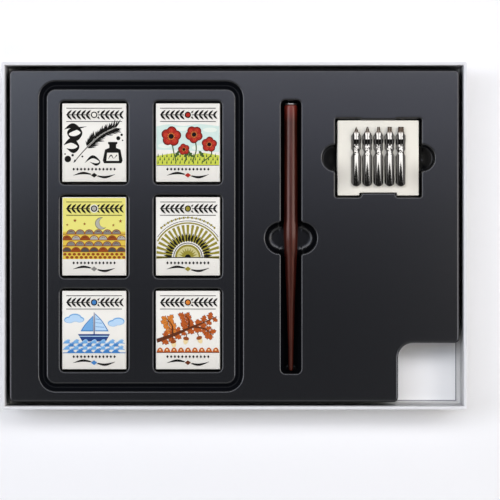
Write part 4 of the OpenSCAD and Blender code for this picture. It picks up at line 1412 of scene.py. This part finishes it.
NIB_L, NIB_R, NIB_T = 38.5, 3.3, 0.3
SHANK_L = 19
SLIT, VENT_R, VENT_AT = 0.16, 0.55, 27.0
TIP_WIDTHS = (0.5, 1.0, 1.7, 2.6, 3.6)
ROLLED = [(0, NIB_R), (27, NIB_R), (32.5, 3.6), (36, 5.0), (NIB_L, 9.0)]
LIFT = [(0, NIB_R), (SHANK_L, NIB_R), (27.3, NIB_R - 0.7), (30.4, NIB_R - 0.1), (33.6, NIB_R - 0.5),
        (NIB_L, NIB_R - 0.9)]
CRINKLE, CRINKLE_FROM, CRINKLE_TO = 0.085, 19.5, 28
HEEL_STEPS, EDGE_STEPS, SLIT_STEPS, VENT_STEPS = 7, 70, 12, 18


def bend(flat, tip):
    """Place in the rolled nib of a point (u, v) of its flat pattern."""
    u, v = flat
    radius = between(ROLLED, v)
    turn = u / radius
    dents = math.sin((v - SHANK_L) * 2.7 + 2.2 * math.sin(1.7 * u + 5 * tip))
    dents += 0.7 * math.cos(2.9 * u + 1.1 * v + 9 * tip)
    crinkle = CRINKLE * dents * smooth_step((v - CRINKLE_FROM) / 1.5) * smooth_step((CRINKLE_TO - v) / 2)
    rise = between(LIFT, v) + crinkle * math.cos(turn * 1.6)
    return radius * math.sin(turn), v, rise - radius * (1 - math.cos(turn))


# %% Flat blank of a nib
def nib_blank(tip):
    """Flat outline of a nib, with its slit and vent hole."""
    widths = [(0, NIB_R), (SHANK_L, NIB_R), (22.0, 2.15), (25.0, NIB_R), (32.6, NIB_R),
              (34.4, max(2.2, tip / 2 + 0.3)), (36.0, max(1.0, tip / 2 + 0.05)), (NIB_L, tip / 2)]
    right = []
    for k in range(HEEL_STEPS):
        turn = math.pi / 2 * k / HEEL_STEPS
        right.append((NIB_R * math.sin(turn), NIB_R * (1 - math.cos(turn))))
    places = [NIB_R + (NIB_L - NIB_R) * k / EDGE_STEPS for k in range(EDGE_STEPS + 1)]
    right += [(between(widths, v), v) for v in places]
    rolled = []
    for w, v in right:
        radius = between(ROLLED, v)
        rolled.append((radius * math.asin(min(w / radius, 1)), v))
    slit_foot = VENT_AT + math.sqrt(VENT_R ** 2 - (SLIT / 2) ** 2)
    cut = [(SLIT / 2, NIB_L)]
    cut += [(SLIT / 2, slit_foot + (NIB_L - slit_foot) * k / SLIT_STEPS)
            for k in range(SLIT_STEPS - 1, 0, -1)]
    lean = math.asin(SLIT / 2 / VENT_R)
    vent = []
    for k in range(VENT_STEPS + 1):
        turn = lean + (2 * math.pi - 2 * lean) * k / VENT_STEPS
        vent.append((VENT_R * math.sin(turn), VENT_AT + VENT_R * math.cos(turn)))
    mirrored_cut = [(-u, v) for u, v in reversed(cut)]
    mirrored = [(-u, v) for u, v in reversed(rolled[1:])]
    return rolled + cut + vent + mirrored_cut + mirrored


# %% Five nibs
BLANK_NET = 0.45
nibs = bpy.data.collections.new("nibs")
for number, tip in enumerate(TIP_WIDTHS, 1):
    node = "nib_%d" % number
    low, high = span(node)
    blank = bmesh.new()
    outline = [blank.verts.new((u, v, 0)) for u, v in nib_blank(tip)]
    fill(blank, [outline], BLANK_NET, lambda x, y: 0.0)
    for vert in blank.verts:
        x, y, z = bend((vert.co.x, vert.co.y), tip)
        vert.co = ((low.x + high.x) / 2 + x, low.y + y, low.z + z)
    nib = finish_piece("pressed_" + node, blank, [nib_steel], node, [node], open_sheet=True)
    metal = nib.modifiers.new("steel_thickness", "SOLIDIFY")
    metal.thickness = NIB_T * MM
    metal.offset = -1
    metal.use_even_offset = True
    nibs.objects.link(nib)

# %% [markdown]
# Steel this bright shows whatever hangs over it. In a studio, flags keep the side lamps off
# such small bright parts, and one box behind them draws a clean streak along the top. Light
# linking does the same: the other lamps skip the nibs, and one more lamp sees only them. Two
# long lamps at the sides see only the tray and draw the lines along its rolled edges, and one
# over the far side keeps the floor lining white in the cut-out corner.

# %% Flags and lamps for single pieces
flagged = bpy.data.collections.new("flagged_from_lamps")
for nib in nibs.objects:
    flagged.objects.link(nib)
for item in flagged.collection_objects:
    item.light_linking.link_state = "EXCLUDE"
for lamp in [thing for thing in scene.objects if thing.type == "LIGHT"]:
    lamp.light_linking.receiver_collection = flagged
edges = bpy.data.collections.new("rolled_edges")
edges.objects.link(tray)
lining = bpy.data.collections.new("floor_lining")
lining.objects.link(frame["nodes"]["box_floor_lining"])
PIECE_LAMPS = (
    (edges, ("edge_lamp_right", 0.80, 4.00, -0.70, 0.60, 3.8, "#f4f5ff")),
    (edges, ("edge_lamp_left", -3.60, -0.85, -0.70, 0.60, 3.8, "#f4f5ff")),
    (lining, ("softbox_of_the_lining", -0.60, 1.30, 0.30, 1.20, 2.8, "#fffaf6")),
    (nibs, ("softbox_of_the_nibs", -1.00, 1.60, 0.142, 0.85, 5.2, "#ffffff")))
for pieces, row in PIECE_LAMPS:
    softbox(*row).light_linking.receiver_collection = pieces
print("lamps for single pieces:", len(PIECE_LAMPS))

# %% Finish
print("scene built")
